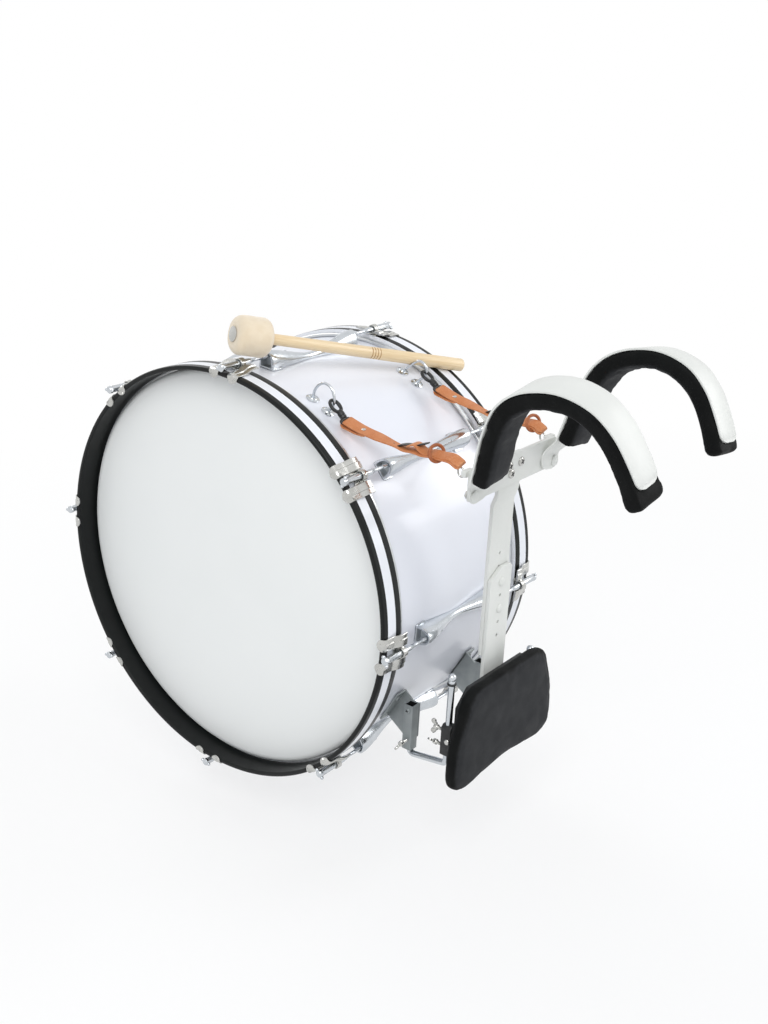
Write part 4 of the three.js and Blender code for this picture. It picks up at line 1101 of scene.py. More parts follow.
STRAP_THICK = 2.4
STRAP_LOOP = 3.7
STRAP_LIFTS = ((0, 0), (0.2, -1), (0.5, -2), (0.66, 3), (0.8, 9), (0.92, 12), (1, 8))
STRAP_TURNS = ((0, 12), (0.25, 10), (0.46, -8), (0.56, 2), (0.8, 18), (1, 22))
TAIL_START = 0.55
RIVET_AT = 0.15
HOLE_AT = 0.42
KEEPERS_AT = {-1: 0.79, 1: 0.9}
TAB_FROM = 0.47
TAB_LONG = 46.0


def read_off(table, share):
    """A value between the rows of a table of (share, value)."""
    for (a, low), (b, high) in zip(table, table[1:]):
        if share <= b:
            return low + (high - low) * ease((share - a) / (b - a))
    return table[-1][1]


class Strap:
    """The middle of one strap, from the hook's eye to the crossbar."""

    def __init__(self, hand):
        way, *_, eye = hook_places(hand)
        self.eye_bar = eye + way * (HOOK_EYE_LONG / 2 - HOOK_WIRE)
        end_y = EYE_BACK + SEAT + 5
        self.keeper_at = KEEPERS_AT[hand]
        self.end = on_carrier(Vector((hand * STRAP_END_X, end_y, STRAP_END_Z)))
        self.way = (self.end - self.eye_bar).normalized()
        self.wide = (AXIS_X - self.way * self.way.x).normalized()
        self.up = self.wide.cross(self.way)
        if self.up.z < 0:
            self.up = -self.up

    def at(self, share, off=0.0):
        lift = AXIS_Z * read_off(STRAP_LIFTS, share)
        return self.eye_bar.lerp(self.end, share) + lift + self.normal(share) * off

    def side(self, share):
        turn = math.radians(read_off(STRAP_TURNS, share))
        return self.wide * math.cos(turn) + self.up * math.sin(turn)

    def normal(self, share):
        hand = 1 if self.way.cross(self.wide).dot(self.up) > 0 else -1
        return self.way.cross(self.side(share)) * hand

    def strip(self, stations, width):
        """A flat strip through (share, offset) stations."""
        line = [self.at(share, off) for share, off in stations]
        places = []
        for i, point in enumerate(line):
            on = line[min(i + 1, len(line) - 1)] - line[max(i - 1, 0)]
            side = self.side(max(stations[i][0], 0))
            on.normalize()
            across = (side - on * side.dot(on)).normalized()
            places.append(basis(across, on.cross(across), on, point))
        return self.tapered(places, line, width)

    def tapered(self, places, line, width):
        section = rounded_box(-width / 2, -STRAP_THICK / 2, width / 2, STRAP_THICK / 2, 0.8, 2)
        gone = [0]
        for a, b in zip(line, line[1:]):
            gone.append(gone[-1] + (b - a).length)
        shaped = []
        for place, far in zip(places, gone):
            near = min(far, gone[-1] - far, 3.0) / 3.0
            narrow = 0.82 + 0.18 * math.sqrt(1 - (1 - near) ** 2)
            shaped.append(place @ Matrix.Diagonal((narrow, 1, 1, 1)))
        return swept(section, shaped)


def strap_bands(strap):
    """The strap round the hook's eye and on to the crossbar, and its tail laid back over it."""
    bands = [(RIVET_AT * 1.25 - 0.012 * k, -2.5 - 1.8 * k / 7) for k in range(8)]
    bands += [(0.03, -STRAP_LOOP - 0.3)]
    reach = STRAP_LOOP / (strap.end - strap.eye_bar).length
    for k in range(9):
        turn = math.pi * k / 8
        bands.append((-reach * math.sin(turn), -STRAP_LOOP * math.cos(turn)))
    for k in range(1, 61):
        share = k / 60
        bands.append((share, STRAP_LOOP * max(0, 1 - share / 0.2) ** 2))
    tail = []
    for k in range(30):
        share = 1 - (1 - TAIL_START) * k / 29
        arch = 7.5 * math.exp(-(((share - 0.61) / 0.06) ** 2))
        tail.append((share, STRAP_THICK + 1.1 + arch + 2.2 * math.sin(6 * share)))
    return strap.strip(bands, STRAP_WIDTH), strap.strip(tail, STRAP_WIDTH * 0.82)


def strap_keeper(strap):
    """A round leather keeper, leaning, about both layers."""
    share = strap.keeper_at
    centre = strap.at(share, 2.0)
    lean = (strap.normal(share) * 0.78 - strap.way * 0.62).normalized()
    side = strap.side(share)
    line = []
    for k in range(48):
        turn = FULL_TURN * k / 48
        line.append(centre + side * (13.2 * math.cos(turn)) + lean * (10.5 * math.sin(turn)))
    return swept(circle(2.3, 12), along(line, side.cross(lean), closed=True), closed=True)


def strap_small_parts(strap):
    """The rivet, two stitch holes drawn as thin black discs of painted shade, the black tab and
    the ring at the crossbar.
    """
    rivet = [(0, 0), (0, 3.2), (0.5, 3.1), (1.1, 2.2), (1.4, 0)]
    top = STRAP_THICK / 2
    parts = []
    # A hole is a thin black disc on the strap: painted shade, not an opening.
    painted_hole_shade = [(0, 0), (0, 1.1), (0.08, 1.0), (0.08, 0)]
    spots = ((RIVET_AT, rivet, 3), (HOLE_AT, painted_hole_shade, 2), (HOLE_AT + 0.5, painted_hole_shade, 2))
    for share, shape, paint in spots:
        off = STRAP_LOOP * max(0, 1 - share / 0.2) ** 2 + top
        at = strap.at(share, off - 0.02)
        place = pointing(at, strap.normal(share), strap.way)
        parts.append(painted(placed(spun(shape, 20), place), paint))
    way = (strap.way + AXIS_Z * 0.38).normalized()
    start = strap.at(TAB_FROM, 2.2)
    line = [start + way * (TAB_LONG * k / 8) + AXIS_Z * (0.8 * math.sin(k)) for k in range(9)]
    tab = swept(rounded_box(-5.5, -0.9, 5.5, 0.9, 0.6, 2), along(line, strap.wide))
    parts.append(painted(tab, 2))
    ring_at = strap.end + strap.way * -1 + AXIS_Z * -1
    ring = wire_loop(ring_at, AXIS_Z, strap.way, 6.2, 5.2, 1.3)
    parts.append(painted(ring, 3))
    return parts


def make_straps():
    for name, hand in SIDES:
        strap = Strap(hand)
        main, tail = strap_bands(strap)
        parts = [main, tail, painted(strap_keeper(strap), 1)]
        parts += strap_small_parts(strap)
        made = piece(
            "leather_strap_" + name, joined(*parts), DRUM, None,
            [LEATHER, LEATHER_DARK, BLACK_STEEL, NICKEL],
        )
        start, end = DRUM @ strap.at(0.03), DRUM @ strap.at(0.97)
        tuple(start)
        tuple(end)
        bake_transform(made)
        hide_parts("strap_" + name)


# The carrier's bars.
CROSSBAR_HALF = 104.0
CROSSBAR_BOTTOM = 181.0
EYE_WIDTH = 20.0
EYE_HEIGHT = 9.0
HOLE_PITCH = 20.8
HOLE_LOWEST = -49.2
HOLE_RADIUS = 2.6
UPPER_HOLES = range(7)
LOWER_HOLES = (0, 1, 3)
LOCK_BOLTS = (2, 4)
UPPER_BACK = 7.2
UPPER_HEIGHTS = (-75, 152, 168, 221)
CROSSBAR_SCREWS = ((-14.3, 209.5), (14.3, 209.5), (-8.5, 197.5))


def hole_height(k):
    return HOLE_LOWEST + k * HOLE_PITCH


def pan_head(radius, height, cross=True):
    """A screw head on the X axis with, if asked, a cross drive drawn as two thin bars in the
    second finish, painted shade where the recess would be.
    """
    profile = [
        (0, radius), (height * 0.35, radius), (height * 0.75, radius * 0.86),
        (height, radius * 0.55), (height, 0),
    ]
    parts = [spun([(0, 0), *profile], 32)]
    if cross:
        wide, long = radius * 0.15, radius * 0.58
        for turn in (25, 115):
            bar = slab(rounded_box(-long, -wide, long, wide, wide * 0.5, 2), 0.3)
            turned = Matrix.Rotation(math.radians(turn), 4, "X")
            place = turned @ basis(AXIS_Y, AXIS_Z, AXIS_X, (height - 0.2, 0, 0))
            parts.append(painted(placed(bar, place), 1))
    return joined(*parts)


def facing(x, y, z):
    """Places a head made on X so that it points at the wearer."""
    return basis(-AXIS_Y, AXIS_X, AXIS_Z, (x, y, z))


def bored(made, holes, depth_way, radius):
    """Cuts round holes with a modifier that is applied at once."""
    cutter_parts = []
    for x, y, z in holes:
        drill = spun([(-20, 0), (-20, radius), (20, radius), (20, 0)], 20)
        cutter_parts.append(placed(drill, pointing((x, y, z), depth_way, AXIS_X)))
    cutter = piece("drill", joined(*cutter_parts), CARRIER, None, [PAINTED_SHADE_INSIDE])
    cut = made.modifiers.new("bores", "BOOLEAN")
    cut.operation = "DIFFERENCE"
    cut.solver = "EXACT"
    cut.object = cutter
    finished_mesh(made)
    bpy.data.objects.remove(cutter)
    made.data.set_sharp_from_angle(angle=math.radians(SHARP_ANGLE))


def make_crossbar():
    back = -CROSSBAR_FRONT + BAR_THICK
    outline = rounded_box(-CROSSBAR_HALF, CROSSBAR_BOTTOM, CROSSBAR_HALF, CROSSBAR_TOP, 5, 5)
    bar = placed(eased(slab(outline, BAR_THICK), 0.9, 3), standing(back))
    parts = [bar]
    for hand in (-1, 1):
        x = hand * STRAP_END_X
        eye = rounded_box(
            x - EYE_WIDTH / 2, CROSSBAR_TOP - EYE_HEIGHT, x + EYE_WIDTH / 2, CROSSBAR_TOP, 2
        )
        loop = placed(eased(slab(eye, 7.4), 0.8), standing(back + 7.0))
        parts.append(loop)
    piece(
        "carrier_crossbar", joined(*parts), CARRIER, "carrier_upper", [CARRIER_PAINT],
        ["crossbar"],
    )
    heads = []
    # The screws' cross drives take the second finish, painted shade.
    for x, z in CROSSBAR_SCREWS:
        head = pan_head(6.5, 3.0)
        heads.append(placed(head, facing(x, -CROSSBAR_FRONT + 0.05, z)))
    piece(
        "crossbar_screws", joined(*heads), CARRIER, "carrier_upper", [NICKEL, PAINTED_SHADE_INSIDE],
    )


def make_upper_bar():
    top_back = -CROSSBAR_FRONT + 2 * BAR_THICK + SEAT
    backs = (UPPER_BACK, UPPER_BACK, top_back, top_back)
    centre = [Vector((0, y - BAR_THICK / 2, z)) for y, z in zip(backs, UPPER_HEIGHTS)]
    line = bent_line(centre, 14, 5)
    section = rounded_box(-BAR_HALF, -BAR_THICK / 2, BAR_HALF, BAR_THICK / 2, 0.9, 2)
    bar = piece(
        "carrier_upper_bar", swept(section, along(line, AXIS_X)), CARRIER, "carrier_upper",
        [CARRIER_PAINT], ["upper_bar"],
    )
    holes = [(0, UPPER_BACK, hole_height(k)) for k in UPPER_HOLES]
    bored(bar, holes, AXIS_Y, HOLE_RADIUS)


def make_lower_bar():
    outline = [
        (-BAR_HALF, -238), (BAR_HALF, -238), (BAR_HALF, 51), (BAR_HALF - 5, 56),
        (-BAR_HALF + 24, 56), (-BAR_HALF, 41),
    ]
    plate = eased(slab(outline, BAR_THICK), 0.9, 3)
    bar = piece(
        "carrier_lower_bar", placed(plate, standing(-LOWER_FRONT + BAR_THICK)), CARRIER,
        "carrier_lower", [CARRIER_PAINT], ["lower_bar"],
    )
    holes = [(0, -LOWER_FRONT, hole_height(k)) for k in LOWER_HOLES]
    bored(bar, holes, AXIS_Y, HOLE_RADIUS)
    heads = []
    for k in LOCK_BOLTS:
        head = pan_head(6.5, 2.6, cross=False)
        heads.append(placed(head, facing(0, -LOWER_FRONT + 0.05, hole_height(k))))
    piece(
        "lock_bolt_heads", joined(*heads), CARRIER, "carrier_lower", [CARRIER_PAINT],
    )


# Shoulder loops.
FOOT_INNER = 33.0
FOOT_OUTER = 10.5
FOOT_BELOW = 11.0
FOOT_ABOVE = 13.0
STRIP_HALF = 29.0
STRIP_THICK = 3.0
STRIP_TAPER = 4.5
NUT_RADIUS = 6.0
LOOP_REACH = 233.4
LOOP_RISE = 150.4
LOOP_START_BACK = 13.8
LOOP_START_UP = 33.5
FOOT_FACE = -CROSSBAR_FRONT - SEAT
LOOP_SHARES = (
    (0.028, 0.176), (0.073, 0.46), (0.156, 0.747), (0.3, 0.927), (0.511, 1), (0.707, 0.932),
    (0.842, 0.764), (0.932, 0.5525), (1, 0.346),
)
PAD_THICK = 22.4
PAD_BULGE = 1.0
PAD_PAST_STRIP = {-1: 23.0, 1: 14.0}
PAD_END_ROUND = 11.0
PAD_SECTION_SHARES = (
    (-0.97, 0), (-1, 0.12), (-1, 0.4), (-1, 0.7), (-0.98, 0.86), (-0.92, 0.95), (-0.8, 0.98),
    (-0.4, 1), (0, 1.01), (0.4, 1), (0.8, 0.98), (0.92, 0.95), (0.98, 0.86), (1, 0.7), (1, 0.4),
    (1, 0.12), (0.97, 0),
)


def shoulder_frame(hand):
    return (
        CARRIER @ Matrix.Translation((hand * BOLT_X, 0, BOLT_Z))
        @ Matrix.Rotation(math.radians(hand * SPLAY), 4, "Y")
    )


def loop_line(count):
    start_y = FOOT_FACE - LOOP_START_BACK
    points = [Vector((0, start_y, LOOP_START_UP))]
    for back, up in LOOP_SHARES:
        points.append(Vector((0, start_y - back * LOOP_REACH, LOOP_START_UP + up * LOOP_RISE)))
    return smooth_line(points, count)


def make_strip(name, hand):
    """A flat bar: a narrow foot on the crossbar that widens and bends into the loop."""
    loop = loop_line(150)
    foot = smooth_line(
        [
            Vector((0, FOOT_FACE, -FOOT_BELOW)), Vector((0, FOOT_FACE, 0)),
            Vector((0, FOOT_FACE, FOOT_ABOVE)), loop[0],
        ],
        40,
    )
    line = foot[:-1] + loop
    foot_middle = hand * (FOOT_OUTER - FOOT_INNER) / 2
    foot_half = (FOOT_OUTER + FOOT_INNER) / 2
    length = sum((b - a).length for a, b in zip(line, line[1:]))
    gone = 0
    places = []
    corner = 14.0
    for i, place in enumerate(along(line, AXIS_X)):
        gone += (line[i] - line[i - 1]).length if i else 0
        widen = 1 if i >= len(foot) else eased_share(line[i].z, FOOT_ABOVE, LOOP_START_UP)
        half = foot_half + (STRIP_HALF - foot_half) * widen
        half -= STRIP_TAPER * eased_share(gone, length * 0.45, length)
        near = min(gone, length - gone, corner)
        half -= corner - math.sqrt(corner**2 - (corner - near) ** 2)
        shift = Matrix.Translation((foot_middle * (1 - widen), 0, 0))
        places.append(shift @ place @ Matrix.Diagonal((half / STRIP_HALF, 1, 1, 1)))
    section = rounded_box(-STRIP_HALF, -STRIP_THICK, STRIP_HALF, 0, 0.9, 2)
    piece(
        "shoulder_loop_" + name, swept(section, places), shoulder_frame(hand), "shoulder_" + name,
        [CARRIER_PAINT], ["shoulder_strip_" + name],
    )


def make_shoulder_bolt(name, hand):
    foot_front = FOOT_FACE - STRIP_THICK
    nut_back = -CROSSBAR_FRONT + BAR_THICK + SEAT
    head = placed(pan_head(8.0, 3.0, cross=False), facing(0, foot_front, 0))
    pin = [(foot_front - 0.5, 0), (foot_front - 0.5, 4), (nut_back + 1, 4), (nut_back + 1, 0)]
    shaft = placed(spun(pin, 20), basis(AXIS_Y, AXIS_X, -AXIS_Z))
    nut_place = basis(AXIS_X, -AXIS_Z, AXIS_Y, (0, nut_back, 0))
    nut = placed(eased(slab(circle(NUT_RADIUS, 6), 3.0), 0.5), nut_place)
    piece(
        "shoulder_hinge_" + name, joined(head, painted(shaft, 1), painted(nut, 1)),
        shoulder_frame(hand), "shoulder_" + name, [CARRIER_PAINT, NICKEL],
        ["shoulder_bolt_" + name],
    )


def make_shoulder_loops():
    for name, hand in SIDES:
        make_strip(name, hand)
        make_shoulder_bolt(name, hand)


# Padded pieces.
VOXEL = 4.0
PRESSURE = 4.0
PUFF_FRAMES = 20


def finished_mesh(made):
    """Applies what modifiers a piece has."""
    ready = made.evaluated_get(bpy.context.evaluated_depsgraph_get())
    mesh = bpy.data.meshes.new_from_object(ready)
    made.modifiers.clear()
    old, made.data = made.data, mesh
    bpy.data.meshes.remove(old)


def puffed(made, held, voxel=VOXEL):
    """Swells a piece with a short cloth run; held says where each point may go."""
    even = made.modifiers.new("even", "REMESH")
    even.mode = "VOXEL"
    even.voxel_size = voxel * MM
    finished_mesh(made)
    before = [v.co.copy() for v in made.data.vertices]
    cloth = made.modifiers.new("puff", "CLOTH")
    cloth.settings.use_pressure = True
    cloth.settings.uniform_pressure_force = PRESSURE
    cloth.settings.effector_weights.gravity = 0
    cloth.collision_settings.use_collision = False
    cloth.point_cache.frame_end = PUFF_FRAMES
    for step in range(1, PUFF_FRAMES + 1):
        bpy.context.scene.frame_set(step)
    finished_mesh(made)
    for v, start in zip(made.data.vertices, before):
        v.co = held(start, v.co)


def soft_finish(made, painted_light_at):
    """Stores the painted light and shade at each point, paler on the front faces and darker on the
    sides, and smooths the piece.
    """
    painted_light = made.data.attributes.new("painted_light", "FLOAT", "POINT")
    painted_light.data.foreach_set("value", [painted_light_at(v.co) for v in made.data.vertices])
    made.data.polygons.foreach_set("use_smooth", [True] * len(made.data.polygons))
    smooth = made.modifiers.new("smooth", "SUBSURF")
    smooth.levels = smooth.render_levels = 1


def capped(start, moved_to, most):
    move = moved_to - start
    if move.length > most:
        move *= most / move.length
    return start + move


PAD_CAP = 1.8
PAD_WRINKLE = 1.5
PAD_LOBE = 2.6


def pad_places(hand, count):
    """The pad's stations inside the loop and on past the strip's end."""
    line = loop_line(count)
    way = (line[-1] - line[-2]).normalized()
    tail = PAD_PAST_STRIP[hand] - PAD_END_ROUND
    steps = max(1, round(tail / (line[-1] - line[-2]).length))
    line += [line[-1] + way * (tail * (k + 1) / steps) for k in range(steps)]
    return along(line, AXIS_X)


def squeezed(place, middle, size, shift):
    centre = Matrix.Translation((0, middle, shift))
    narrow = Matrix.Diagonal((1 - (1 - size) / 2, size, 1, 1))
    return place @ centre @ narrow @ Matrix.Translation((0, -middle, 0))


def pad_mesh(hand):
    half = STRIP_HALF + PAD_BULGE
    gap = STRIP_THICK + SEAT
    section = [(across * half, -gap - deep * PAD_THICK) for across, deep in PAD_SECTION_SHARES]
    middle = -gap - PAD_THICK / 2
    places = pad_places(hand, 44)
    first, last = places[0], places[-1]
    shaped = [
        squeezed(first, middle, size, shift)
        for size, shift in ((0.8, 0.0), (0.92, 1.0), (0.98, 2.6))
    ]
    shaped += places[2:]
    for size, shift in ((0.97, 4.5), (0.9, 7.5), (0.78, 9.6), (0.6, PAD_END_ROUND)):
        shaped.append(squeezed(last, middle, size, shift))
    return swept(section, shaped)


class PadSpace:
    """Places on a shoulder pad as (across, depth, how far along)."""

    def __init__(self, hand):
        frame_of_pad = shoulder_frame(hand)
        self.places = [frame_of_pad @ place for place in pad_places(hand, 120)]
        self.back = [place.inverted() for place in self.places]
        self.tree = kdtree.KDTree(len(self.places))
        for i, place in enumerate(self.places):
            self.tree.insert(place.translation, i)
        self.tree.balance()

    def read(self, point):
        i = self.tree.find(point)[1]
        local = self.back[i] @ point
        return i, local.x, -local.y - STRIP_THICK - SEAT, i / len(self.places)

    def held(self, start, moved_to):
        """Keeps a point near its start and off the strip, and presses the creases in."""
        i, across, deep, share = self.read(start)
        point = capped(start, moved_to, PAD_CAP * MM)
        local = self.back[i] @ point
        inner = eased_share(deep, 0.45 * PAD_THICK, 0.9 * PAD_THICK)
        local.y -= self.wrinkle(across, share) * inner
        local.y -= self.lobes(across, share) * inner
        local.y = min(local.y, -STRIP_THICK - SEAT)
        return self.places[i] @ local

    def wrinkle(self, across, share):
        """Creases across the inside, deepest where the loop bends most."""
        bent = math.exp(-(((share - 0.33) / 0.2) ** 2)) + 0.2
        slant = share * 46 + across * 0.035
        folds = noise.noise(Vector((slant, across * 0.03, 0.3)))
        return PAD_WRINKLE * bent * (folds - 0.25)

    def lobes(self, across, share):
        """The end bulges inwards in two soft lobes."""
        near_end = eased_share(share, 0.93, 1.0)
        return PAD_LOBE * near_end * (0.6 + 0.4 * math.cos(across * 0.21))

    # Painted light and shade: 1 on the pad's inner face, falling to 0 on its sides and edges.
    def painted_light(self, point):
        _, across, deep, _ = self.read(point)
        face = eased_share(deep, 0.84 * PAD_THICK, 0.97 * PAD_THICK)
        edge = 1 - eased_share(abs(across), STRIP_HALF - 2.2, STRIP_HALF + 0.6)
        return face * edge


def make_shoulder_pads():
    for name, hand in SIDES:
        pad = piece(
            "loop_pad_" + name, pad_mesh(hand), shoulder_frame(hand), None, [FOAM],
            ["shoulder_pad_" + name],
        )
        space = PadSpace(hand)
        puffed(pad, space.held)
        soft_finish(pad, space.painted_light)
        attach(pad, "shoulder_" + name)


BELLY_HALF = 133.0
BELLY_TOP = -88.0
BELLY_HEIGHT = 161.0
BELLY_BACK = -LOWER_FRONT - SEAT - 8.0 - SEAT
BELLY_CAP = 2.5
BELLY_DRAWN_IN = 1.5
BELLY_OUTLINE_SHARES = (
    (0, 0), (0.33, 0.005), (0.62, 0.022), (0.76, 0.09), (0.87, 0.27), (0.955, 0.48), (0.98, 0.66),
    (0.975, 0.84), (0.92, 0.935), (0.74, 0.985), (0.45, 0.975), (0, 0.95),
)
BELLY_LAYERS = (
    (24, 0), (10, 1.4), (3, 4.5), (0.5, 8), (0, 12), (0, 16.5), (0.3, 18.8), (1.2, 20.2),
    (2.8, 20.9), (10, 21.5), (30, 22.4), (52, 22.9), (72, 23.2),
)
BELLY_VOXEL = 3.2


def closed_line(points, count):
    """Evenly spaced points on a smooth closed line."""
    wrapped = [*points[-3:], *points, *points[:3]]
    fine = smooth_line(wrapped, 40 * len(wrapped))
    start = min(range(len(fine) // 3), key=lambda i: (fine[i] - points[0]).length)
    half = len(fine) // 2
    end = min(range(half, len(fine)), key=lambda i: (fine[i] - points[0]).length)
    return even_line(fine[start : end + 1], count + 1)[:-1]


def belly_rim(count):
    right = [
        Vector((x * BELLY_HALF, BELLY_TOP - down * BELLY_HEIGHT, 0))
        for x, down in BELLY_OUTLINE_SHARES
    ]
    left = [Vector((-p.x, p.y, 0)) for p in reversed(right[1:-1])]
    return closed_line(right + left, count)


def stacked(rings):
    """A closed form through rings that have equally many points."""
    bm = bmesh.new()
    loops = []
    for ring in rings:
        verts = [bm.verts.new(p) for p in ring]
        loops.append([bm.edges.new(pair) for pair in zip(verts, verts[1:] + verts[:1])])
    for a, b in zip(loops, loops[1:]):
        bmesh.ops.bridge_loops(bm, edges=a + b)
    bmesh.ops.holes_fill(bm, edges=loops[0], sides=0)
    bmesh.ops.holes_fill(bm, edges=loops[-1], sides=0)
    return faced(bm)


def belly_mesh():
    """A stack of outlines: a narrow back, full sides and a crowned front."""
    middle = Vector((0, BELLY_TOP - BELLY_HEIGHT / 2, 0))
    rings = []
    for inset, deep in BELLY_LAYERS:
        ring = []
        for point in belly_rim(140):
            out = point - middle
            near = middle + out * (1 - (inset + BELLY_DRAWN_IN) / out.length)
            ring.append(near + AXIS_Z * deep)
        rings.append(ring)
    return stacked(rings)


BELLY_TO_LOCAL = CARRIER.inverted()


def belly_held(start, moved_to):
    """Keeps a point near its start and off the board, and adds slow hollows and the seam nick."""
    local = BELLY_TO_LOCAL @ capped(start, moved_to, BELLY_CAP * MM)
    front = eased_share(BELLY_BACK - local.y, 14, 21)
    hollow = noise.noise(Vector((local.x * 0.018, local.z * 0.026, 0.7)))
    crease = noise.noise(Vector((local.x * 0.05 + local.z * 0.03, local.z * 0.01, 4.2)))
    local.y += front * (1.6 * hollow + 0.5 * crease)
    nick = math.exp(-(((local.z - BELLY_NICK_Z) / 2.4) ** 2))
    nick *= eased_share(local.x, BELLY_HALF - 14, BELLY_HALF - 3)
    local.x -= 2.2 * nick
    local.y = min(local.y, BELLY_BACK)
    return CARRIER @ local


BELLY_NICK_Z = -165.0


# Painted light and shade: 1 on the pad's front face, falling to 0 on its sides.
def belly_painted_light(point):
    local = BELLY_TO_LOCAL @ point
    return eased_share(BELLY_BACK - local.y, 19.4, 21.6)


def make_belly_pad():
    pad = piece(
        "front_pad", placed(belly_mesh(), standing(BELLY_BACK)), CARRIER, None, [FOAM],
        ["belly_pad"],
    )
    puffed(pad, belly_held, BELLY_VOXEL)
    soft_finish(pad, belly_painted_light)
    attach(pad, "carrier_lower")


BOARD_OUTLINE = (
    (69, -236), (93, -212), (93, -128), (69, -104), (-69, -104), (-93, -128), (-93, -212),
    (-69, -236),
)


def make_pad_board():
    board = eased(slab(BOARD_OUTLINE, 8.0), 0.8)
    piece(
        "pad_board", placed(board, standing(-LOWER_FRONT - SEAT)), CARRIER, "carrier_lower",
        [BLACK_STEEL], ["belly_board"],
    )


# Lower frame: bent rods, clamp blocks, brackets and wing screws.
ROD_X = 103.0
ROD_Y = -3.7
ROD_THICK = 4.75
ROD_BOTTOM = -213.0
CAPS = {-1: -74.0, 1: -110.0}
CAP_RADIUS = 5.9
TUBE_X = 87.0
TUBE_Y = 72.5
TUBE_TOP = -154.7
TUBE_BOTTOM = -226.6
TUBE_HALF = 8.0
TUBE_WALL = 2.0
TUBE_OPEN = 20.0
TUBE_WING_UP = 15.0
RUN_DROP = 9.0
ROD_INSERTION = 60.0


def ball_cap():
    """A ball end, a short neck and a black ring, along X from the rod's end."""
    ball = [(-12.5, 0), (-12.5, 5.0), (-10.5, 5.4), (-8.6, 4.9)]
    for degrees in range(-50, 90, 10):
        turn = math.radians(degrees)
        ball.append((CAP_RADIUS * math.sin(turn) - 4.2, CAP_RADIUS * math.cos(turn)))
    ball.append((CAP_RADIUS - 4.2, 0))
    ring = rounded_box(-15.5, 3.0, -12.6, 6.6, 1.2)
    return joined(spun(ball, 32), painted(spun(ring, 32, closed=True), 1))


def make_j_rods():
    for name, hand in SIDES:
        low = TUBE_BOTTOM - RUN_DROP
        top = CAPS[hand] - CAP_RADIUS
        corners = [
            Vector((hand * ROD_X, ROD_Y, top)), Vector((hand * ROD_X, ROD_Y, ROD_BOTTOM)),
            Vector((hand * TUBE_X, TUBE_Y, low)),
            Vector((hand * TUBE_X, TUBE_Y, low + ROD_INSERTION)),
        ]
        side = Vector((TUBE_Y - ROD_Y, hand * (ROD_X - TUBE_X), 0)).normalized()
        line = bent_line(corners, 9, 8)
        rod = swept(circle(ROD_THICK, 24), along(line, side))
        cap_at = (hand * ROD_X, ROD_Y, top + 7.5)
        cap = placed(ball_cap(), basis(AXIS_Z, AXIS_X, AXIS_Y, cap_at))
        piece(
            "bent_rod_" + name, joined(rod, cap), CARRIER, "carrier_lower",
            [CHROME, BLACK_STEEL], ["j_rod_" + name],
        )


BLOCK_INNER = 93.3
BLOCK_OUTER = 111.0
BLOCK_BACK = 3.6
BLOCK_FRONT = 12.8
BLOCK_TOP = -149.0
BLOCK_BOTTOM = -197.0
BLOCK_BOLT_Y = -8.4
BLOCK_BOLT_Z = -173.0
BLOCK_WINGS = {"upper": (-162.0, 90.0), "lower": (-186.0, 35.0)}


def make_clamp_blocks():
    for name, hand in SIDES:
        low, high = sorted((hand * BLOCK_INNER, hand * BLOCK_OUTER))
        outline = [
            (low, BLOCK_BOTTOM), (high, BLOCK_BOTTOM), (high, BLOCK_TOP - 4),
            (high - 4, BLOCK_TOP), (low + 4, BLOCK_TOP), (low, BLOCK_TOP - 4),
        ]
        depth = BLOCK_BACK + BLOCK_FRONT
        body = placed(eased(slab(outline, depth), 1.4, 3), standing(BLOCK_BACK))
        head = pan_head(4.5, 3.0, cross=False)
        outward = basis(AXIS_X * hand, AXIS_Y, AXIS_Z * hand)
        bolt_at = Matrix.Translation((hand * (BLOCK_OUTER - 0.1), BLOCK_BOLT_Y, BLOCK_BOLT_Z))
        piece(
            "rod_clamp_" + name,
            joined(body, painted(placed(head, bolt_at @ outward), 1)), CARRIER,
            "carrier_lower", [BLACK_STEEL, NICKEL], ["clamp_block_" + name],
        )


WING_SHAFT = 2.4
WING_SHAFT_LONG = 12.0
WING_HUB = 4.2
WING_HUB_LONG = 7.0
WING_SPAN = 23.2
WING_THICK = 3.0


def wing_round(tall, wide):
    """The rounded end of a wing, round its middle."""
    turns = [math.radians(t) for t in (200, 160, 125, 90, 60, 30, 0, -30, -60)]
    return [(wide * math.cos(t), tall * math.sin(t)) for t in turns]


def wing_mesh():
    """A wing screw on the X axis: threaded shaft, turned hub and two rounded wings."""
    root = WING_SHAFT_LONG
    shaft = [(0, 0)]
    x = 0.0
    while x < root:
        shaft += [(x, WING_SHAFT - 0.3), (x + 0.4, WING_SHAFT)]
        x += 0.8
    hub = [
        (root, WING_SHAFT), (root + 0.2, WING_HUB - 0.5), (root + 1, WING_HUB),
        (root + WING_HUB_LONG - 1.4, WING_HUB - 0.4), (root + WING_HUB_LONG, WING_HUB - 1.8),
        (root + WING_HUB_LONG, 0),
    ]
    half = WING_SPAN / 2
    parts = [spun(shaft + hub, 24)]
    base = root + WING_HUB_LONG * 0.2
    for hand in (-1, 1):
        tip = [(base + 6.4 + x, hand * (half - 4 + up)) for x, up in wing_round(4.0, 3.9)]
        outline = [
            (base, hand * 2.0), (base + 1.2, hand * half * 0.6), *tip, (base + 5.6, hand * 3.4),
            (base + 4.6, hand * 2.0),
        ]
        wing = eased(slab(outline, WING_THICK), 0.9, 2)
        parts.append(moved(wing, z=-WING_THICK / 2))
    return joined(*parts)


def place_wing(name, node, origin, way, side, turn):
    spin = Matrix.Rotation(math.radians(turn), 4, "X")
    piece(
        name, placed(wing_mesh(), spin), CARRIER @ pointing(origin, way, side), node + "_body",
        [NICKEL], [node],
    )


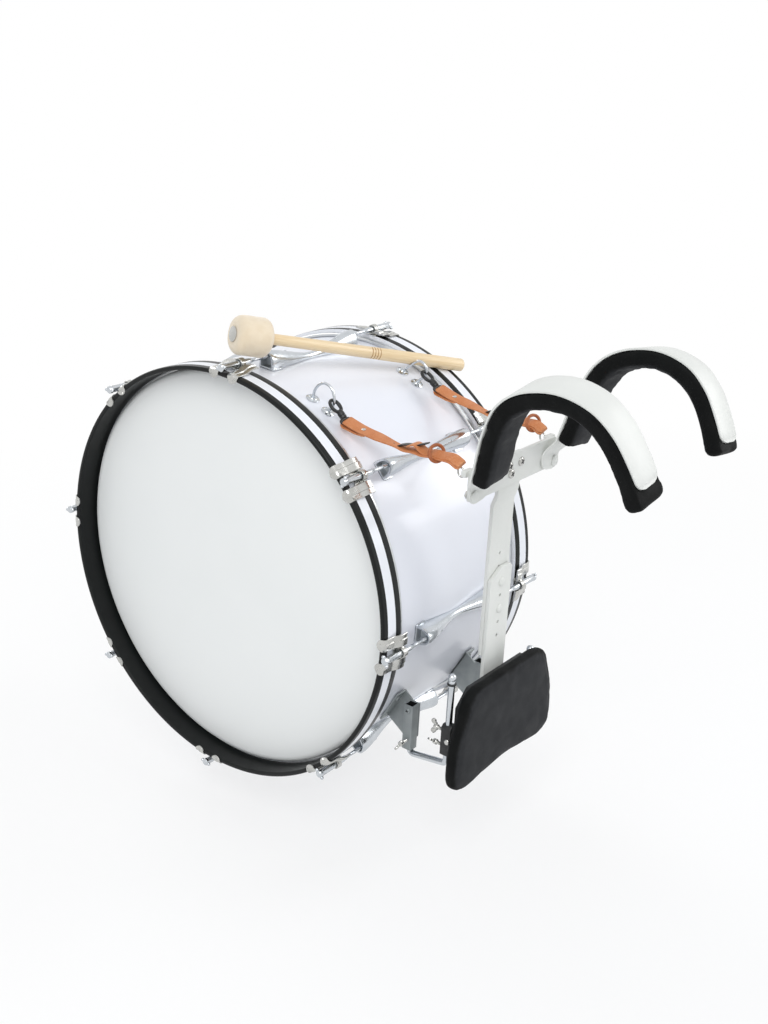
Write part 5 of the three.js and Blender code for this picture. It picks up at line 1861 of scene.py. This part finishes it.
def make_wing_screws():
    for name, hand in SIDES:
        for where, (z, turn) in BLOCK_WINGS.items():
            node = f"wing_{where}_{name}"
            origin = (hand * ROD_X, ROD_Y + ROD_THICK + SEAT, z)
            piece_name = "wing_screw_" + where + "_" + name
            place_wing(piece_name, node, origin, AXIS_Y, AXIS_X, turn)
        node = "wing_tube_" + name
        origin = (hand * (TUBE_X + ROD_THICK + SEAT), TUBE_Y, TUBE_BOTTOM + TUBE_WING_UP)
        place_wing("wing_screw_tube_" + name, node, origin, AXIS_X * hand, AXIS_Y, 60)


PLATE_X = 79.0
PLATE_THICK = 3.0
CHEEK_THICK = 2.4
FLANGE_REACH = 19.0
FLANGE_ANGLE = 212.2
FLANGE_HALF = 30.0
PLATE_REACH = 37.0


def make_brackets():
    for name, hand in SIDES:
        x = hand * TUBE_X
        front, back = TUBE_Y - TUBE_HALF, TUBE_Y + TUBE_HALF
        outer = rounded_box(x - TUBE_HALF, front, x + TUBE_HALF, back, 1.8, 3)
        tube = moved(slab(outer, TUBE_TOP - TUBE_BOTTOM), z=TUBE_BOTTOM)
        ends = [f for f in tube.faces if len(f.verts) > 4]
        bmesh.ops.inset_region(tube, faces=ends, thickness=TUBE_WALL, use_even_offset=True)
        # Painted shade: the inner walls of the tube's open ends get the near-black second finish.
        for end in ends:
            way = -1 if end.calc_center_median().z > (TUBE_TOP + TUBE_BOTTOM) / 2 else 1
            sunk(tube, end, (0, 0, way * TUBE_OPEN))
        faced(tube)
        cheek_x = hand * (TUBE_X - TUBE_HALF - PLATE_THICK / 2)
        cheek_outline = rounded_box(front, TUBE_BOTTOM + 16, back + 4, TUBE_TOP, 2)
        cheek = placed(
            eased(slab(cheek_outline, CHEEK_THICK), 0.6),
            basis(AXIS_Y, AXIS_Z, AXIS_X, (cheek_x - CHEEK_THICK / 2, 0, 0)),
        )
        # The head's cross drive is painted shade.
        head = placed(
            pan_head(4.4, 2.8), Matrix.Translation((x + hand * TUBE_HALF, TUBE_Y, TUBE_TOP - 8))
            @ basis(AXIS_X * hand, AXIS_Y, AXIS_Z * hand),
        )
        on_lean = joined(tube, cheek, head)
        on_lean = placed(on_lean, DRUM.inverted() @ CARRIER)
        shell_side = bracket_plates(hand)
        piece(
            "tube_bracket_" + name, joined(on_lean, shell_side), DRUM, "drum",
            [GREY_ZINC, PAINTED_SHADE_INSIDE], ["bracket_" + name],
        )


def bracket_plates(hand):
    """The flange on the shell with its two screws, and the plate that reaches to the tube."""
    low, high = sorted((hand * (PLATE_X - PLATE_THICK), hand * (PLATE_X + FLANGE_REACH)))
    flange = rounded_box(low, -FLANGE_HALF, high, FLANGE_HALF, 2.5)
    parts = [moved(eased(slab(flange, PLATE_THICK), 0.6), z=ON_SHELL - 0.2)]
    reach = PLATE_REACH + PLATE_THICK
    outline = [
        (0, -FLANGE_HALF), (reach * 0.94, -FLANGE_HALF * 1.12), (reach, -FLANGE_HALF * 0.2),
        (reach * 0.68, FLANGE_HALF * 0.88), (0, FLANGE_HALF),
    ]
    cheek = eased(slab(outline, PLATE_THICK), 0.7)
    plate_x = hand * (PLATE_X - PLATE_THICK / 2)
    cheek = placed(cheek, basis(AXIS_Z, AXIS_Y, -AXIS_X, (plate_x + PLATE_THICK / 2, 0, ON_SHELL)))
    parts.append(cheek)
    # The screws' cross drives are painted shade.
    screw_x = hand * (PLATE_X + FLANGE_REACH * 0.62)
    for end in (-1, 1):
        at = (screw_x, end * FLANGE_HALF * 0.62, ON_SHELL + PLATE_THICK - 0.3)
        parts.append(placed(pan_head(3.6, 2.4), basis(AXIS_Z, AXIS_X, AXIS_Y, at)))
    turn = math.radians(FLANGE_ANGLE)
    out = Vector((0, math.cos(turn), math.sin(turn)))
    down = out.cross(AXIS_X)
    return placed(joined(*parts), basis(AXIS_X, down, out))


# The mallet.
LUG_PAST = 38.0
MALLET_HEAD_X = -(LUG_HALF + LUG_PAST)
MALLET_HEAD_ANGLE = 97.15
MALLET_HEAD_RADIUS = 30.0
MALLET_HEAD_ROUND = 12.0
FELT_RADIUS = 28.2
FELT_LONG = 54.0
MALLET_SETTLE = 0.5
MALLET_END_X = 193.0
MALLET_END_ANGLE = 122.2
MALLET_END_RADIUS = 9.8
MALLET_NECK = 7.9
GROOVES = 4
GROOVE_SPACING = 4.6
GROOVE_DEEP = 1.2
GROOVE_WIDE = 2.0


def mallet_ends():
    web_top = ROD_AXIS + 4 + 0.4 + 2.6
    head_radius = web_top + MALLET_HEAD_RADIUS + SEAT - MALLET_SETTLE
    head_at = polar(MALLET_HEAD_X, head_radius, MALLET_HEAD_ANGLE)
    end_at = polar(MALLET_END_X, HOOP_RADIUS + MALLET_END_RADIUS + SEAT, MALLET_END_ANGLE)
    return head_at, end_at


def make_mallet():
    head_at, end_at = mallet_ends()
    length = (end_at - head_at).length
    place = DRUM @ pointing(head_at, end_at - head_at, AXIS_Y)
    half = FELT_LONG / 2
    place_of_grain = place.normalized()
    wood = handle_wood("handle wood", place_of_grain, "EBD6B1", "DCBD8D")
    # Painted shade: a darker copy of the wood for the faces inside the grooves.
    groove_shade_wood = handle_wood("groove shade wood", place_of_grain, "BC9566", "A98152")
    r = MALLET_HEAD_ROUND
    big = FELT_RADIUS
    felt = [
        (-half, MALLET_NECK - 1), *arc((-half + r, big - r), r, 180, 90, 8),
        *[(x, big) for x in (-10, 0, 10)], *arc((half - r, big - r), r, 90, 0, 8),
        (half, MALLET_NECK - 1),
    ]
    bm = spun(felt, 96, closed=True)
    bmesh.ops.subdivide_edges(bm, edges=bm.edges[:], cuts=1, use_grid_fill=True)
    for v in bm.verts:
        away = v.co.normalized()
        lump = noise.noise(v.co * 0.06) * 0.7 + noise.noise(v.co * 0.6) * 0.16
        v.co += away * (lump - 0.35)
    piece("mallet_felt", bm, place, "mallet", [FELT], ["mallet_head"], sharp=60)

    front = -half - SEAT
    handle = [(front - 0.6, 0), (front - 0.6, MALLET_NECK), (half + r, MALLET_NECK)]
    groove_start = (length + half) / 2

    def width_at(x):
        share = max(0, x - half) / (length - half)
        return MALLET_NECK + (MALLET_END_RADIUS - MALLET_NECK) * share

    for k in range(GROOVES):
        x = groove_start + k * GROOVE_SPACING
        handle += [
            (x - 0.2, width_at(x)), (x + 0.3, width_at(x) - 0.3),
            (x + GROOVE_WIDE / 2, width_at(x) - GROOVE_DEEP),
            (x + GROOVE_WIDE - 0.3, width_at(x) - 0.3), (x + GROOVE_WIDE + 0.2, width_at(x)),
        ]
    handle += arc((length - 3, MALLET_END_RADIUS - 3), 3, 90, 0, 5)
    handle.append((length, 0))
    washer = [
        (front - 1.6, 0), (front - 1.6, 9.6), (front - 1.2, 10.8), (front - 0.4, 11),
        (front - 0.1, 11), (front - 0.1, 8),
    ]
    stick = spun(handle, 48)
    # The faces inside the grooves take the darker wood: painted shade in the grooves.
    for face in stick.faces:
        middle = face.calc_center_median()
        low = math.hypot(middle.y, middle.z) < width_at(middle.x) - 0.35
        if low and half + r < middle.x < length - 4:
            face.material_index = 2
    piece(
        "mallet_stick", joined(stick, painted(spun(washer, 40), 1)), place, "mallet",
        [wood, NICKEL, groove_shade_wood], ["mallet_handle"],
    )


# Floor, light and camera.
FLOOR_Z = -0.7225
FLOOR_HALF = 14.0
CAMERA_AT = Vector((-1.3769, -1.2560, 0.7205))
CAMERA_BACK = Vector((-0.7398, -0.5815, 0.3387))
CAMERA_LENS = 44.485
SENSOR = 36.0
LAMPS = (
    ("key", (-1.9, -1.5, 2.2), 1.9, 41), ("side", (1.9, -1.9, 1.2), 1.6, 24),
    ("back", (0.6, 2.4, 1.8), 1.6, 22),
)
AMBIENT_COLOUR = (0.93, 0.96, 1.0, 1)
AMBIENT_STRENGTH = 0.62


def make_floor():
    bm = bmesh.new()
    bmesh.ops.create_grid(bm, x_segments=8, y_segments=8, size=FLOOR_HALF)
    bmesh.ops.translate(bm, verts=bm.verts, vec=(0, 0, FLOOR_Z))
    floor = piece("floor", bm, Matrix.Identity(4), None, [FLOOR_PAPER])


def aim(thing, back):
    thing.rotation_mode = "QUATERNION"
    thing.rotation_quaternion = (-back).to_track_quat("-Z", "Y")


def make_camera():
    data = bpy.data.cameras.new("camera")
    data.lens = CAMERA_LENS
    data.sensor_width = SENSOR
    data.clip_end = 100
    camera = bpy.data.objects.new("camera", data)
    camera.location = MIDDLE + CAMERA_AT
    aim(camera, CAMERA_BACK)
    bpy.context.scene.collection.objects.link(camera)
    bpy.context.scene.camera = camera


def soft_lamp(name, at, size, power):
    data = bpy.data.lights.new(name, "AREA")
    data.shape = "DISK"
    data.size = size
    data.energy = power
    lamp = bpy.data.objects.new(name, data)
    lamp.location = MIDDLE + Vector(at)
    aim(lamp, Vector(at))
    bpy.context.scene.collection.objects.link(lamp)


def make_light():
    for lamp in LAMPS:
        soft_lamp(*lamp)
    world = bpy.data.worlds.new("studio")
    bpy.context.scene.world = world
    world.use_nodes = True
    tree = world.node_tree
    ambient = tree.nodes["Background"]
    ambient.inputs["Color"].default_value = AMBIENT_COLOUR
    ambient.inputs["Strength"].default_value = AMBIENT_STRENGTH
    white = add_node(tree, "ShaderNodeBackground", {"Color": (1, 1, 1, 1), "Strength": 1.0})
    shaders = [made.outputs["Background"] for made in (ambient, white)]
    mix_shaders(tree, seen_directly(tree), *shaders, tree.nodes["World Output"].inputs["Surface"])


for make in (
    make_shell, make_heads, make_hoops, make_claws, make_lugs, make_t_rods, make_anchors,
    make_snap_hooks, make_straps, make_crossbar, make_upper_bar, make_lower_bar,
    make_shoulder_loops, make_shoulder_pads, make_belly_pad, make_pad_board, make_j_rods,
    make_clamp_blocks, make_wing_screws, make_brackets, make_mallet, make_floor, make_camera,
    make_light,
):
    make()
bpy.context.scene.view_settings.view_transform = "Standard"
